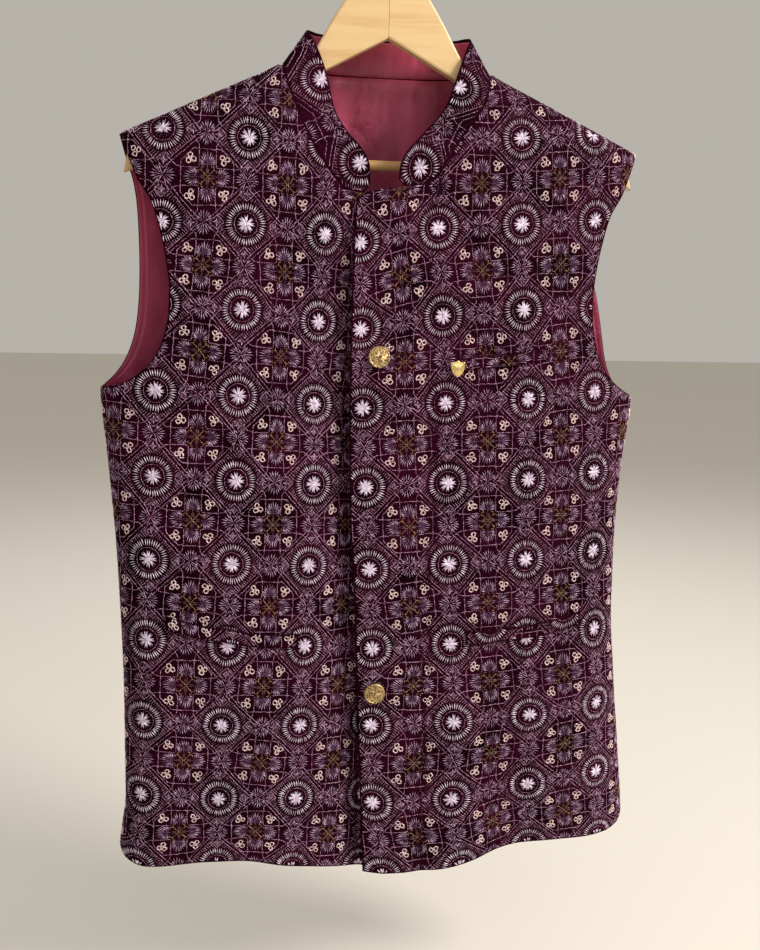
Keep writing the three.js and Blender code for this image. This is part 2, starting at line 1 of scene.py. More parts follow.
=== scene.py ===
# Nehru jacket of embroidered velvet, buttoned on a wooden hanger.
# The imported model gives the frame. Shapes are worked out in millimetres, as the cutter
# has them, and become metres when they are put into a mesh. The front faces -Y.
import math

import bpy
import numpy as np
from mathutils import Matrix, Vector


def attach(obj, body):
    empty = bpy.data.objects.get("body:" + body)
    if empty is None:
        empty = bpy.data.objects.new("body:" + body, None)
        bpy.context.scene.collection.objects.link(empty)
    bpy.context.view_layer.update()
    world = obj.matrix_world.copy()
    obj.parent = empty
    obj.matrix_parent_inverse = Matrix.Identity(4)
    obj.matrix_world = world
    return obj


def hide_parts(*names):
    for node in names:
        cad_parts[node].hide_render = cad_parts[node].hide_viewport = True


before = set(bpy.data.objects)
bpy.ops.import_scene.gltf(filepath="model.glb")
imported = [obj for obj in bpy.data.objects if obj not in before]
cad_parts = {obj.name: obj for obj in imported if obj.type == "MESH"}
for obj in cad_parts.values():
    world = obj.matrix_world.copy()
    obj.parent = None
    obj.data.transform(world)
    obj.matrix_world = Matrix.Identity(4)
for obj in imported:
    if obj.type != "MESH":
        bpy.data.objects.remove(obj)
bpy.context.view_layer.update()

millimetre = 0.001
scene = bpy.context.scene
dice = np.random.default_rng(73)
print("frame loaded:", len(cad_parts), "nodes")

# Camera: a little to the left, turned in and tipped down, as the photograph was taken
viewpoint = {
    "place": (-0.143, -0.978, -0.342),
    "yaw": 8.4,
    "pitch": 9.05,
    "roll": 1.23,
    "lens": 36 * 1100 / 950,  # 1100 pixels of focal length on a frame 950 pixels tall
}


# The camera stands at its place, turned by yaw about Z, then pitched and rolled about itself
def placeCamera(setting):
    yaw, pitch, roll = (math.radians(setting[key]) for key in ("yaw", "pitch", "roll"))
    data = bpy.data.cameras.new("camera")
    data.lens = setting["lens"]
    data.clip_start, data.clip_end = 0.05, 30
    camera = bpy.data.objects.new("camera", data)
    camera.matrix_world = (
        Matrix.Translation(setting["place"])
        @ Matrix.Rotation(-yaw, 4, "Z")
        @ Matrix.Rotation(math.pi / 2 - pitch, 4, "X")
        @ Matrix.Rotation(roll, 4, "Z")
    )
    scene.collection.objects.link(camera)
    scene.camera = camera


placeCamera(viewpoint)


# Eases from 0 to 1: three times the square less twice the cube, held flat outside
def smoothStep(t):
    t = np.clip(t, 0, 1)
    return t * t * (3 - 2 * t)


# Smooth curve through a table's rows that never runs past them: a cubic between two rows
# whose slopes are the harmonic mean of the chords on both sides, flat where they disagree
def readTable(table, key, column, place):
    keys = np.array(table[key], float)
    values = np.array(table[column], float)
    if keys[0] > keys[-1]:
        keys, values = keys[::-1], values[::-1]
    chord = np.diff(values) / np.diff(keys)
    before, after = chord[:-1], chord[1:]
    total = np.where(before * after > 0, before + after, 1)
    inner = np.where(before * after > 0, 2 * before * after / total, 0)
    slope = np.concatenate([chord[:1], inner, chord[-1:]])
    place = np.clip(place, keys[0], keys[-1])
    i = np.clip(np.searchsorted(keys, place, side="right") - 1, 0, len(keys) - 2)
    span = keys[i + 1] - keys[i]
    t = (place - keys[i]) / span
    rise = t * t * (3 - 2 * t)
    start = values[i] * (1 - rise) + values[i + 1] * rise
    return start + span * t * (1 - t) * ((1 - t) * slope[i] - t * slope[i + 1])


# Value of a grid between its points, weighted by nearness along both ways
def readGrid(grid, low, step, place):
    a = np.clip((place[0] - low[0]) / step[0], 0, grid.shape[0] - 1.001)
    b = np.clip((place[1] - low[1]) / step[1], 0, grid.shape[1] - 1.001)
    i, j = a.astype(int), b.astype(int)
    u, v = a - i, b - j
    upper = grid[i, j] * (1 - v) + grid[i, j + 1] * v
    lower = grid[i + 1, j] * (1 - v) + grid[i + 1, j + 1] * v
    return upper * (1 - u) + lower * u


# A vector over its own length
def unit(v):
    return v / np.maximum(np.linalg.norm(v, axis=-1, keepdims=True), 1e-9)


# Body block: the cut of the jacket, a row for each height down from the neck point
body = {
    "neck": (89, -146),
    "shoulder": (226, -209),
    "underarm": -421,
    "warpStart": -700,
    "hem": -866,
    "power": 2.4,
    "seamGap": 0.3,
    "z": [-146, -165, -184, -209, -300, -421, -486, -557, -621, -701, -803, -866],
    "left": [226, 226, 226, 226, 229, 245, 239.5, 234, 231, 229, 229, 235],
    "right": [226, 226, 226, 226, 226, 234, 228, 225, 226, 233, 243, 248],
    "front": [10, 21, 29, 35, 41, 46, 47, 47, 46, 45, 43, 40],
    "back": [36, 39, 41, 43, 46, 47, 46, 45, 44, 43, 42, 41],
}
armhole = {
    "z": [-209, -226, -247, -265, -284, -312, -335, -355, -372, -388, -401, -411, -421],
    "front": [226, 219, 210, 199, 193, 187, 184.5, 185, 188, 194, 203, 215, 234],
    "backLeft": [226, 222, 216, 213.5, 212.5, 212, 212.5, 214, 216.5, 221, 227, 234, 244],
    "backRight": [226, 221, 211, 205, 201, 201, 206, 210, 213, 216, 220, 225, 233],
}
# Inner edge of each front: down the neckline, over the top of the overlap, down the centre
frontEdge = {
    "z": [-149, -158, -173, -190, -207, -228, -239, -243.8, -246.4, -249, -252.5, -255, -258,
          -260.5, -264, -285, -427, -496, -603, -696, -866],
    "under": [-88.9, -87.5, -83, -77, -69.5, -56.5, -49.4, -45.4, -43.1, -40.5, -30, -12, 4,
              13, 18, 20, 20, 20, 21, 22, 24],
    "over": [88.9, 87.5, 82, 71, 58.5, 45.5, 37.5, 29.5, 18, -5.5, -21, -24.6, -27.5,
             -28.6, -29.5, -31, -33, -32, -26, -22, -13],
}
frontHem = {
    "x": [-236, -229, -212, -179, -116, -70, -20, 10, 50, 88, 117, 177, 225, 241, 249],
    "z": [-842, -852, -857, -856, -849, -855, -861, -866, -866, -858, -851, -846, -845, -840,
          -828],
}
backHem = {"x": [-236, -160, 0, 160, 249], "z": [-842, -851, -855, -846, -828]}

# Folds that hang down the cloth: where, how far they lean, from and to, half width, height
foldColumns = ("x", "lean", "top", "bottom", "width", "rise")
frontFolds = [
    (-206, 0.05, -560, -980, 26, 5),
    (-150, 0.08, -650, -1000, 24, -7),
    (-88, 0.02, -640, -980, 26, 6),
    (-150, -0.25, -300, -560, 30, 4),
    (74, -0.03, -640, -1000, 26, 6),
    (124, -0.04, -620, -980, 24, -6),
    (190, -0.06, -560, -980, 28, 6),
    (140, 0.25, -300, -540, 28, 4),
]
backFolds = [
    (-150, 0.04, -520, -980, 34, 6),
    (-62, 0.02, -600, -1000, 30, -5),
    (58, -0.02, -560, -980, 34, 6),
    (150, -0.04, -600, -1000, 32, -6),
    (0, 0.02, -220, -520, 40, -4),
]
foldFade = 120
# Softer creases: two ends, bow of the middle, half width and depth, no two alike
creaseColumns = ("x0", "z0", "x1", "z1", "bow", "width", "depth")
frontCreases = [
    (-188, -432, -118, -486, 6, 8, -1.6),
    (-206, -456, -142, -528, 9, 11, 1.4),
    (-172, -322, -112, -398, -7, 12, 1.3),
    (-120, -226, -88, -330, 6, 14, -1.2),
    (-60, -470, -34, -612, -5, 13, 1.1),
    (-182, -660, -60, -676, -8, 10, 1.3),
    (-96, -742, -20, -768, 6, 15, -1.2),
    (-214, -742, -186, -836, 4, 9, -1.5),
    (186, -428, 120, -474, -6, 9, -1.5),
    (204, -462, 150, -530, -8, 12, 1.3),
    (168, -300, 106, -372, 7, 13, 1.2),
    (52, -300, 38, -372, 4, 10, -1.0),
    (18, -412, 44, -520, -5, 14, 1.1),
    (70, -660, 184, -668, 7, 11, 1.2),
    (30, -736, 110, -760, -6, 14, -1.3),
    (214, -700, 226, -812, 4, 10, -1.4),
    (152, -790, 166, -858, 3, 8, 1.2),
    (-40, -792, -52, -862, 3, 9, 1.1),
]
backCreases = [
    (-176, -430, -104, -492, 7, 10, -1.6),
    (-196, -470, -130, -548, -8, 12, 1.4),
    (180, -436, 112, -480, -6, 9, -1.5),
    (198, -474, 140, -556, 8, 13, 1.3),
    (-40, -240, -96, -300, 5, 14, 1.2),
    (52, -236, 110, -312, -6, 13, -1.1),
    (-24, -560, 30, -592, 6, 15, 1.2),
    (-110, -700, -30, -728, -7, 12, -1.3),
    (96, -716, 176, -738, 6, 13, 1.2),
    (12, -780, 24, -850, 4, 10, 1.2),
]
# How far the upper front stands off the one below it, close to the buttons
overlap = {"lift": 3.6, "end": 44, "full": 24}
# The lower front falls back under the edge of the upper one, from below the neck to the hem
underlap = {"depth": 9.0, "width": 22, "from": -268, "ease": 60, "beside": 3}
# The right underarm sits a little lower than the left one
underarmDrop = {"drop": 5, "reach": 90, "from": 115}


# Half width of the body: along the shoulder line above its tip, along the side seam below it
def halfWidth(z, side):
    neckX, neckZ = body["neck"]
    tipX, tipZ = body["shoulder"]
    shoulder = neckX + (neckZ - z) / (neckZ - tipZ) * (tipX - neckX)
    left = readTable(body, "z", "left", z)
    right = readTable(body, "z", "right", z)
    return np.where(z > tipZ, shoulder, np.where(side < 0, left, right))


# Sum of the folds: each a bell across its leaning line, eased in at the top and the bottom
def foldHeight(folds, x, z):
    total = np.zeros(np.broadcast(x, z).shape)
    for fold in folds:
        f = dict(zip(foldColumns, fold))
        across = (x - f["x"] - f["lean"] * (z - f["top"])) / f["width"]
        into = smoothStep((f["top"] - z) / foldFade)
        out = smoothStep((z - f["bottom"]) / foldFade)
        total += f["rise"] * into * out * np.exp(-across * across)
    return total


# Sum of the creases: a bell across a bowed line, running out to nothing at both ends
def creaseHeight(creases, x, z):
    total = np.zeros(np.broadcast(x, z).shape)
    for crease in creases:
        c = dict(zip(creaseColumns, crease))
        wayX, wayZ = c["x1"] - c["x0"], c["z1"] - c["z0"]
        length = math.hypot(wayX, wayZ)
        along = ((x - c["x0"]) * wayX + (z - c["z0"]) * wayZ) / length**2
        across = ((z - c["z0"]) * wayX - (x - c["x0"]) * wayZ) / length
        across = across - c["bow"] * 4 * along * (1 - along)
        ends = smoothStep(0.5 + 1.6 * along) * smoothStep(0.5 + 1.6 * (1 - along))
        total += c["depth"] * ends * np.exp(-((across / c["width"]) ** 2))
    return total


# Depth of the cloth: a flattened oval as full as the table says, raised by folds and creases
def clothDepth(face, x, z):
    side = "front" if face < 0 else "back"
    folds = frontFolds if face < 0 else backFolds
    creases = frontCreases if face < 0 else backCreases
    q = np.clip(np.abs(x) / halfWidth(z, x), 0, 1)
    oval = (1 - q ** body["power"]) ** (1 / body["power"])
    full = readTable(body, "z", side, z) + foldHeight(folds, x, z) + creaseHeight(creases, x, z)
    return face * np.maximum(full * oval, body["seamGap"] / 2)


# The upper front stands off by the whole lift up to one place, and eases down to none at the next
def overlapLift(x):
    return overlap["lift"] * smoothStep((overlap["end"] - x) / (overlap["end"] - overlap["full"]))


# The lower front's fall: a bell across the upper front's edge, eased in below the neck
def underlapDepth(x, z):
    edge = readTable(frontEdge, "z", "over", z) + underlap["beside"]
    eased = smoothStep((underlap["from"] - z) / underlap["ease"])
    return underlap["depth"] * eased * np.exp(-(((x - edge) / underlap["width"]) ** 2))


# Point of a panel's outer face. Below the warp's start each row is let down or taken up to
# meet the hem, and the right underarm is let down a little
def clothPoint(panel, x, z):
    x, z = np.broadcast_arrays(np.asarray(x, float), np.asarray(z, float))
    y = clothDepth(panel["face"], x, z)
    if panel["over"]:
        y = y - overlapLift(x)
    elif panel["face"] < 0:
        y = y + underlapDepth(x, z)
    reach = (z - body["underarm"]) / underarmDrop["reach"]
    outward = smoothStep((x - underarmDrop["from"]) / underarmDrop["from"])
    lowered = z - underarmDrop["drop"] * outward * np.exp(-reach * reach)
    start = body["warpStart"]
    share = (z - start) / (body["hem"] - start)
    warped = start + share * (readTable(panel["hem"], "x", "z", x) - start)
    return np.stack([x, y, np.where(z > start, lowered, warped)], -1)


# Grids of the cloth laid flat: points down and round, and the longest length across
layPoints = 361
layReach = 330


# Length of cloth across from the centre line, for a turn round the oval at each height,
# and the other way round, the place across for a length of cloth. Each grid comes with its
# first place and its step, down and across
def layOut(face):
    heights = np.linspace(body["neck"][1], body["hem"], layPoints)
    turns = np.linspace(-math.pi / 2, math.pi / 2, layPoints)
    x = halfWidth(heights[:, None], turns[None, :]) * np.sin(turns)
    y = clothDepth(face, x, heights[:, None])
    run = np.cumsum(np.hypot(np.diff(x, axis=1), np.diff(y, axis=1)), axis=1)
    length = np.concatenate([np.zeros((layPoints, 1)), run], axis=1)
    length -= length[:, [layPoints // 2]]
    lengths = np.linspace(-layReach, layReach, layReach + 1)
    place = np.stack([np.interp(lengths, row, across) for row, across in zip(length, x)])
    laid = {}
    for name, grid, way in (("length", length, turns), ("place", place, lengths)):
        laid[name] = (grid, (heights[0], way[0]), (heights[1] - heights[0], way[1] - way[0]))
    return laid


layouts = {-1: layOut(-1), 1: layOut(1)}


# Turn round the oval for a place across: the arc sine of its share of the half width
def turnAt(x, z):
    return np.arcsin(np.clip(x / halfWidth(z, x), -1, 1))


# Length of cloth from the centre line to a place across, at a height
def lengthAcross(face, x, z):
    return readGrid(*layouts[face]["length"], (z, turnAt(x, z)))


# Place across for a length of cloth, at a height
def placeAcross(face, length, z):
    return readGrid(*layouts[face]["place"], (z, length))


# Panels of the body: face and side, whether they lap over, inner edge's column, and hem
panels = {
    "front_left": {"face": -1, "over": False, "side": -1, "edge": "under", "hem": frontHem},
    "front_right": {"face": -1, "over": True, "side": 1, "edge": "over", "hem": frontHem},
    "back": {"face": 1, "over": False, "side": 0, "hem": backHem},
}
neckSeam = 0.9  # the fronts' inner edges lie this far below the neckline
panelTop = -147.8
edgeMargin = 0.8  # stitches keep this far from every edge


# Outer edge of a panel: shoulder seam, then armhole, then side seam
def outerEdge(z, side, column):
    limit = halfWidth(z, np.full_like(z, side))
    inArmhole = (z < body["shoulder"][1]) & (z > body["underarm"])
    return side * np.where(inArmhole, np.minimum(readTable(armhole, "z", column, z), limit), limit)


# Both edges of a panel at a height, from its left or inner one to its right or outer one
def panelEdges(panel, z):
    if panel["side"] == 0:
        return outerEdge(z, -1, "backLeft"), outerEdge(z, 1, "backRight")
    inner = readTable(frontEdge, "z", panel["edge"], z + neckSeam)
    return inner, outerEdge(z, panel["side"], "front")


# Normals of a grid of points: across its rows times down its columns
def gridNormals(grid):
    down = np.gradient(grid, axis=0)
    across = np.gradient(grid, axis=1)
    return unit(np.cross(across, down))


# Where the edges of a panel turn: height, half width, and how much closer the rows lie
edgeTurns = [(-251, 10, 2.2), (-411, 22, 0.9)]


# Heights of a panel's rows: close together where its edges turn, else evenly spread
def rowHeights(rows):
    z = panelTop + np.linspace(0, 1, 2001) * (body["hem"] - panelTop)
    density = np.ones_like(z)
    for height, width, closer in edgeTurns:
        density += closer * np.exp(-(((z - height) / width) ** 2))
    run = np.concatenate([[0], np.cumsum((density[1:] + density[:-1]) / 2)])
    return np.interp(np.linspace(0, run[-1], rows + 1), run, z)


# Outer face of a panel: even turns round the oval between its edges, at each height
def panelGrid(panel, rows, columns):
    z = rowHeights(rows)[:, None]
    start, end = (turnAt(x, z) for x in panelEdges(panel, z))
    turn = start + (end - start) * np.linspace(0, 1, columns + 1)
    return clothPoint(panel, halfWidth(z, turn) * np.sin(turn), z)


# A grid moved along its normals towards the wearer, kept on its own side of the side seams
def movedIn(grid, face, distance):
    normals = gridNormals(grid)
    inward = -face * np.sign(normals[..., 1].mean())
    moved = grid + normals * inward * distance
    limit = body["seamGap"] / 2
    moved[..., 1] = face * np.maximum(face * moved[..., 1], limit)
    return moved


# Puts points and faces of three or four corners into a mesh object that rides on the part
def makePiece(name, points, faces, materials, shades=None, smooth=True, uv=None):
    mesh = bpy.data.meshes.new(name)
    corners = faces.shape[1]
    mesh.vertices.add(len(points))
    mesh.vertices.foreach_set("co", (points * millimetre).astype(np.float32).ravel())
    mesh.loops.add(faces.size)
    mesh.loops.foreach_set("vertex_index", faces.astype(np.int32).ravel())
    mesh.polygons.add(len(faces))
    mesh.polygons.foreach_set("loop_start", np.arange(0, faces.size, corners, dtype=np.int32))
    for material in materials:
        mesh.materials.append(material)
    if shades is not None:
        mesh.polygons.foreach_set("material_index", shades.astype(np.int32))
    if uv is not None:
        layer = mesh.uv_layers.new(name="cloth")
        layer.data.foreach_set("uv", uv[faces.ravel()].astype(np.float32).ravel())
    mesh.update(calc_edges=True)
    mesh.polygons.foreach_set("use_smooth", np.full(len(faces), smooth))
    piece = bpy.data.objects.new(name, mesh)
    scene.collection.objects.link(piece)
    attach(piece, "root")
    return piece


# Turns all faces round where the volume inside them, summed from the origin, is negative
def facingOut(points, faces):
    a, b, c = points[faces[:, 0]], points[faces[:, 1]], points[faces[:, 2]]
    volume = np.einsum("ij,ij->i", a, np.cross(b, c)).sum()
    if faces.shape[1] == 4:
        d = points[faces[:, 3]]
        volume += np.einsum("ij,ij->i", a, np.cross(c, d)).sum()
    return faces[:, ::-1] if volume < 0 else faces


# Squares between the points of a grid, row by row
def gridQuads(rows, columns):
    i, j = np.meshgrid(np.arange(rows), np.arange(columns), indexing="ij")
    a = i * (columns + 1) + j
    return np.stack([a, a + 1, a + columns + 2, a + columns + 1], -1).reshape(-1, 4)


# The rim of a grid, once round from its first corner
def rimOf(grid):
    return np.concatenate([grid[0, :-1], grid[:-1, -1], grid[-1, :0:-1], grid[:0:-1, 0]])


# Closed wall between an outer and an inner grid. Its edges are rolled: between the two rims
# run rows on a half round, which bulge out of the panel's edge
def wallOf(outer, inner, bulge):
    rows, columns = outer.shape[0] - 1, outer.shape[1] - 1
    count = outer.shape[0] * outer.shape[1]
    index = np.arange(count).reshape(rows + 1, columns + 1)
    rim = rimOf(index)
    within = index.copy()
    within[0], within[-1] = index[1], index[-2]
    within[:, 0], within[:, -1] = within[:, 1].copy(), within[:, -2].copy()
    flatOuter, flatInner = outer.reshape(-1, 3), inner.reshape(-1, 3)
    away = unit(flatOuter[rim] - flatOuter[rimOf(within)])
    through = np.array([0.3, 0.7])[:, None, None]
    rolled = flatOuter[rim] * (1 - through) + flatInner[rim] * through
    rolled = rolled + away * bulge * np.sin(math.pi * through)
    points = np.concatenate([flatOuter, flatInner, rolled.reshape(-1, 3)])
    around = len(rim)
    added = 2 * count + np.arange(around)
    loops = [rim, added, added + around, rim + count]
    strips = [np.stack([a, np.roll(a, -1), np.roll(b, -1), b], -1)
              for a, b in zip(loops, loops[1:])]
    face = gridQuads(rows, columns)
    faces = np.concatenate([face[:, ::-1], face + count, *strips])
    shades = np.repeat([0, 1, 0], [len(face), len(face), 3 * around])
    return points, facingOut(points, faces), shades


# Running total of the steps from point to point along one way of a grid
def runAlong(grid, axis):
    step = np.linalg.norm(np.diff(grid, axis=axis), axis=-1)
    start = np.zeros_like(np.take(step, [0], axis=axis))
    return np.concatenate([start, np.cumsum(step, axis=axis)], axis=axis)


# Wall of cloth as a piece. Its UV map is the length along both ways of the grid, in metres,
# on both faces, so that a weave follows the cloth
def makeCloth(name, outer, inner, bulge, materials):
    points, faces, shades = wallOf(outer, inner, bulge)
    face = np.stack([runAlong(outer, 1), -runAlong(outer, 0)], -1).reshape(-1, 2) * millimetre
    rolled = np.zeros((len(points) - 2 * len(face), 2))
    uv = np.concatenate([face, face, rolled])
    if len(materials) == 1:
        shades = None
    return makePiece(name, points, faces, materials, shades, uv=uv)


# sRGB hex to linear red, green, blue and alpha
def colour(code):
    value = np.array([int(code[i:i + 2], 16) for i in (1, 3, 5)]) / 255
    linear = np.where(value <= 0.04045, value / 12.92, ((value + 0.055) / 1.055) ** 2.4)
    return (*linear, 1.0)


# Adds a node: inputs take a value or another node's socket, the rest are its own settings
def addNode(tree, kind, inputs=None, **settings):
    node = tree.nodes.new(kind)
    for key, value in settings.items():
        setattr(node, key, value)
    for key, value in (inputs or {}).items():
        if isinstance(value, bpy.types.NodeSocket):
            tree.links.new(value, node.inputs[key])
        else:
            node.inputs[key].default_value = value
    return node


# Starts a material: its tree without nodes, and the places that textures can use
def startMaterial(name):
    material = bpy.data.materials.new(name)
    material.use_nodes = True
    tree = material.node_tree
    tree.nodes.clear()
    return material, tree, addNode(tree, "ShaderNodeTexCoord").outputs


# Ends a material with its one shader
def endMaterial(tree, inputs):
    shader = addNode(tree, "ShaderNodeBsdfPrincipled", inputs)
    addNode(tree, "ShaderNodeOutputMaterial", {"Surface": shader.outputs["BSDF"]})


# Noise over a place, from 0 to 1
def noise(tree, where, scale, detail, roughness=0.5, distortion=0.0):
    return addNode(tree, "ShaderNodeTexNoise", {
        "Vector": where, "Scale": scale, "Detail": detail, "Roughness": roughness,
        "Distortion": distortion,
    }).outputs["Fac"]


# Two colours blended while a value runs from low to high. A mix node takes them as its
# inputs 6 and 7 and gives the blend as its output 2
def blend(tree, value, low, high, first, second):
    share = addNode(tree, "ShaderNodeMapRange", {"Value": value, "From Min": low, "From Max": high})
    return addNode(tree, "ShaderNodeMix", {
        "Factor": share.outputs["Result"], 6: colour(first), 7: colour(second),
    }, data_type="RGBA").outputs[2]


# Normal of a height, laid over another normal where one is given
def bump(tree, height, strength, distance, under=None):
    inputs = {"Strength": strength, "Distance": distance, "Height": height}
    if under is not None:
        inputs["Normal"] = under
    return addNode(tree, "ShaderNodeBump", inputs).outputs["Normal"]


# Silk velvet, cut pile: almost black looked at straight on, pinkish where the pile is seen
# from the side. The pile lies in tufts of about 1.4 mm, which is coarser than the real ones
def silkVelvet(name, dark, light, rim):
    material, tree, place = startMaterial(name)
    brushed = noise(tree, place["Object"], 22.0, 3.0, 0.6)
    tuft = noise(tree, place["Object"], 700.0, 2.0, 0.7)
    both = addNode(tree, "ShaderNodeMath", {0: brushed, 1: tuft}, operation="ADD")
    endMaterial(tree, {
        "Base Color": blend(tree, both.outputs[0], 0.75, 1.25, dark, light),
        "Roughness": 0.95, "Specular IOR Level": 0.03,
        "Sheen Weight": 0.75, "Sheen Roughness": 0.1, "Sheen Tint": colour(rim),
        "Normal": bump(tree, tuft, 0.55, 0.0008),
    })
    return material


# Polyester lining satin: smooth, with a soft gloss along its floats, 0.5 mm apart where the
# real ones are closer, and slightly paler where it is stretched
def liningSatin(name, dark, light):
    material, tree, place = startMaterial(name)
    stretched = addNode(tree, "ShaderNodeMapping", {
        "Vector": place["Object"], "Scale": (26.0, 26.0, 7.0),
    })
    cloud = noise(tree, stretched.outputs["Vector"], 1.0, 4.0, 0.55)
    floats = addNode(tree, "ShaderNodeTexWave", {
        "Vector": place["UV"], "Scale": 320.0, "Distortion": 1.5, "Detail": 2.0,
    }, bands_direction="X")
    wrinkled = bump(tree, noise(tree, place["Object"], 24.0, 3.0, 0.5, 0.8), 0.6, 0.006)
    endMaterial(tree, {
        "Base Color": blend(tree, cloud, 0.35, 0.68, dark, light),
        "Roughness": 0.42, "Anisotropic": 0.4,
        "Sheen Weight": 0.25, "Sheen Roughness": 0.3, "Sheen Tint": colour("#c98a9a"),
        "Normal": bump(tree, floats.outputs["Fac"], 0.12, 0.0003, wrinkled),
    })
    return material


# Rayon embroidery thread, machine stitched: filaments catch the light, and each stitch is a
# little lighter or darker than the next one
def rayonThread(name, dark, light, roughness=0.42):
    material, tree, place = startMaterial(name)
    grain = noise(tree, place["Object"], 420.0, 2.0, 0.6)
    endMaterial(tree, {
        "Base Color": blend(tree, grain, 0.36, 0.62, dark, light),
        "Roughness": roughness, "Sheen Weight": 0.3, "Sheen Roughness": 0.4,
    })
    return material


velvet = silkVelvet("silk velvet, cut pile", "#040102", "#34061c", "#c0587c")
satin = liningSatin("polyester satin, woven", "#82203f", "#bf4c6f")
threads = {
    "star": rayonThread("white rayon, satin stitch", "#b5a3bb", "#f3e5fb"),
    "bar": rayonThread("white rayon, bar stitch", "#b599b5", "#faecff"),
    "lilac": rayonThread("lilac rayon, straight stitch", "#6f4b6e", "#dab9da", 0.5),
    "line": rayonThread("mauve rayon, chain stitch", "#522a44", "#d09ec2", 0.5),
    "violet": rayonThread("violet rayon, straight stitch", "#482347", "#7e4f78", 0.5),
    "cream": rayonThread("cream rayon, looped chain", "#cba9a8", "#f9e0e2"),
    "gold": rayonThread("gold metallised thread, twisted", "#74503a", "#bd9272", 0.35),
    "rust": rayonThread("rust rayon, satin stitch", "#2a0e10", "#54251d", 0.5),
}
threadOrder = list(threads)
print("materials for cloth and thread made")


# One row for each stitch: both ends, width, height above the pile, and which thread
def stitches(x0, y0, x1, y1, width, rise, thread):
    columns = np.broadcast_arrays(x0, y0, x1, y1, width, rise, threadOrder.index(thread))
    return np.stack([np.asarray(c, float).ravel() for c in columns], -1)


# Stitches along a broken line, all of about one length
def chain(corners, pitch, width, rise, thread):
    corners = np.array(corners, float)
    run = np.concatenate([[0], np.cumsum(np.hypot(*np.diff(corners, axis=0).T))])
    at = np.linspace(0, run[-1], max(1, round(run[-1] / pitch)) + 1)
    x, y = np.interp(at, run, corners[:, 0]), np.interp(at, run, corners[:, 1])
    return stitches(x[:-1], y[:-1], x[1:], y[1:], width, rise, thread)


# Straight stitches that spread from a point, from one distance to another
def rays(centre, angles, near, far, width, rise, thread):
    across, up = np.cos(np.radians(angles)), np.sin(np.radians(angles))
    return stitches(centre[0] + near * across, centre[1] + near * up, centre[0] + far * across,
                    centre[1] + far * up, width, rise, thread)


# Stitches end to end round a centre, each a chord of the circle
def circle(centre, radius, count, width, rise, thread):
    angle = np.linspace(0, 2 * math.pi, count + 1)
    x, y = centre[0] + radius * np.cos(angle), centre[1] + radius * np.sin(angle)
    return stitches(x[:-1], y[:-1], x[1:], y[1:], width, rise, thread)


# The same stitches after quarter turns about the centre: x becomes -y and y becomes x
def quarterTurns(chart, turns=(0, 1, 2, 3)):
    made = []
    for turn in turns:
        c, s = round(math.cos(turn * math.pi / 2)), round(math.sin(turn * math.pi / 2))
        x, y = chart[:, [0, 2]], chart[:, [1, 3]]
        turned = chart.copy()
        turned[:, [0, 2]], turned[:, [1, 3]] = c * x - s * y, s * x + c * y
        made.append(turned)
    return np.concatenate(made)


# The same stitches in a mirror: x becomes -x
def mirrored(chart):
    return chart * np.array([-1, 1, -1, 1, 1, 1, 1])


# The repeat, charted on a 73 mm square: a medallion at the corners of the square, an
# octagon in its middle, and a small flower halfway along each side
repeat = {
    "size": 73.0,
    "petal": 7.6,  # length of a star petal
    "bars": (12.3, 17.8, 46),  # inner and outer radius of the ring of bars, and their number
    "frames": ((22.0, 18), (24.9, 20)),  # frame lines: distance and half length
    "hatch": (17.5, 2.1, 19.0, 7.6),  # short bars: half run, pitch, and where they begin
    "octagon": (12.0, 22.6),  # corners of the octagon
    "divider": 7.3,  # half distance between two dividers
    "fan": (8.6, 12.3),  # base of a fan from the centre, and its longest stitch
    "trefoil": 14.4,  # place of the loops on the diagonal
    "fine": 0.8,  # width of the mauve lines
}


# Medallion: a star of eight petals, a ring, bars that stand round it, and four sides of
# short bars slanting in from a double line, the first one turned to the other three
def medallionChart():
    petals = np.arange(8) * 45.0
    petal, (near, far, count), fine = repeat["petal"], repeat["bars"], repeat["fine"]
    middle = [
        rays((0, 0), petals - 9, -0.5, petal, 1.75, 0.6, "star"),
        rays((0, 0), petals + 9, -0.5, petal, 1.75, 0.6, "star"),
        rays((0, 0), petals, -0.8, petal - 0.9, 1.6, 0.8, "star"),
        circle((0, 0), 10.4, 24, fine * 0.8, 0.25, "line"),
        rays((0, 0), np.arange(count) * 360 / count, near, far, 1.05, 0.55, "bar"),
    ]
    half, pitch, radius, depth = repeat["hatch"]
    inner = repeat["frames"][0][0]
    along = np.arange(-half, half + 0.1, pitch)
    start = np.maximum(np.sqrt(np.maximum(radius**2 - along**2, 0)), inner - depth)
    end = inner - 0.2
    slant = math.sqrt(0.5)
    hatch = stitches((start - along) * slant, (start + along) * slant,
                     (end - along) * slant, (end + along) * slant, fine * 0.8, 0.3, "line")
    frames = [
        chain([((distance + half) * slant, (distance - half) * slant),
               ((distance - half) * slant, (distance + half) * slant)], 2.6, fine, 0.32, "line")
        for distance, half in repeat["frames"]
    ]
    return np.concatenate([*middle, quarterTurns(np.concatenate([hatch, *frames]))])


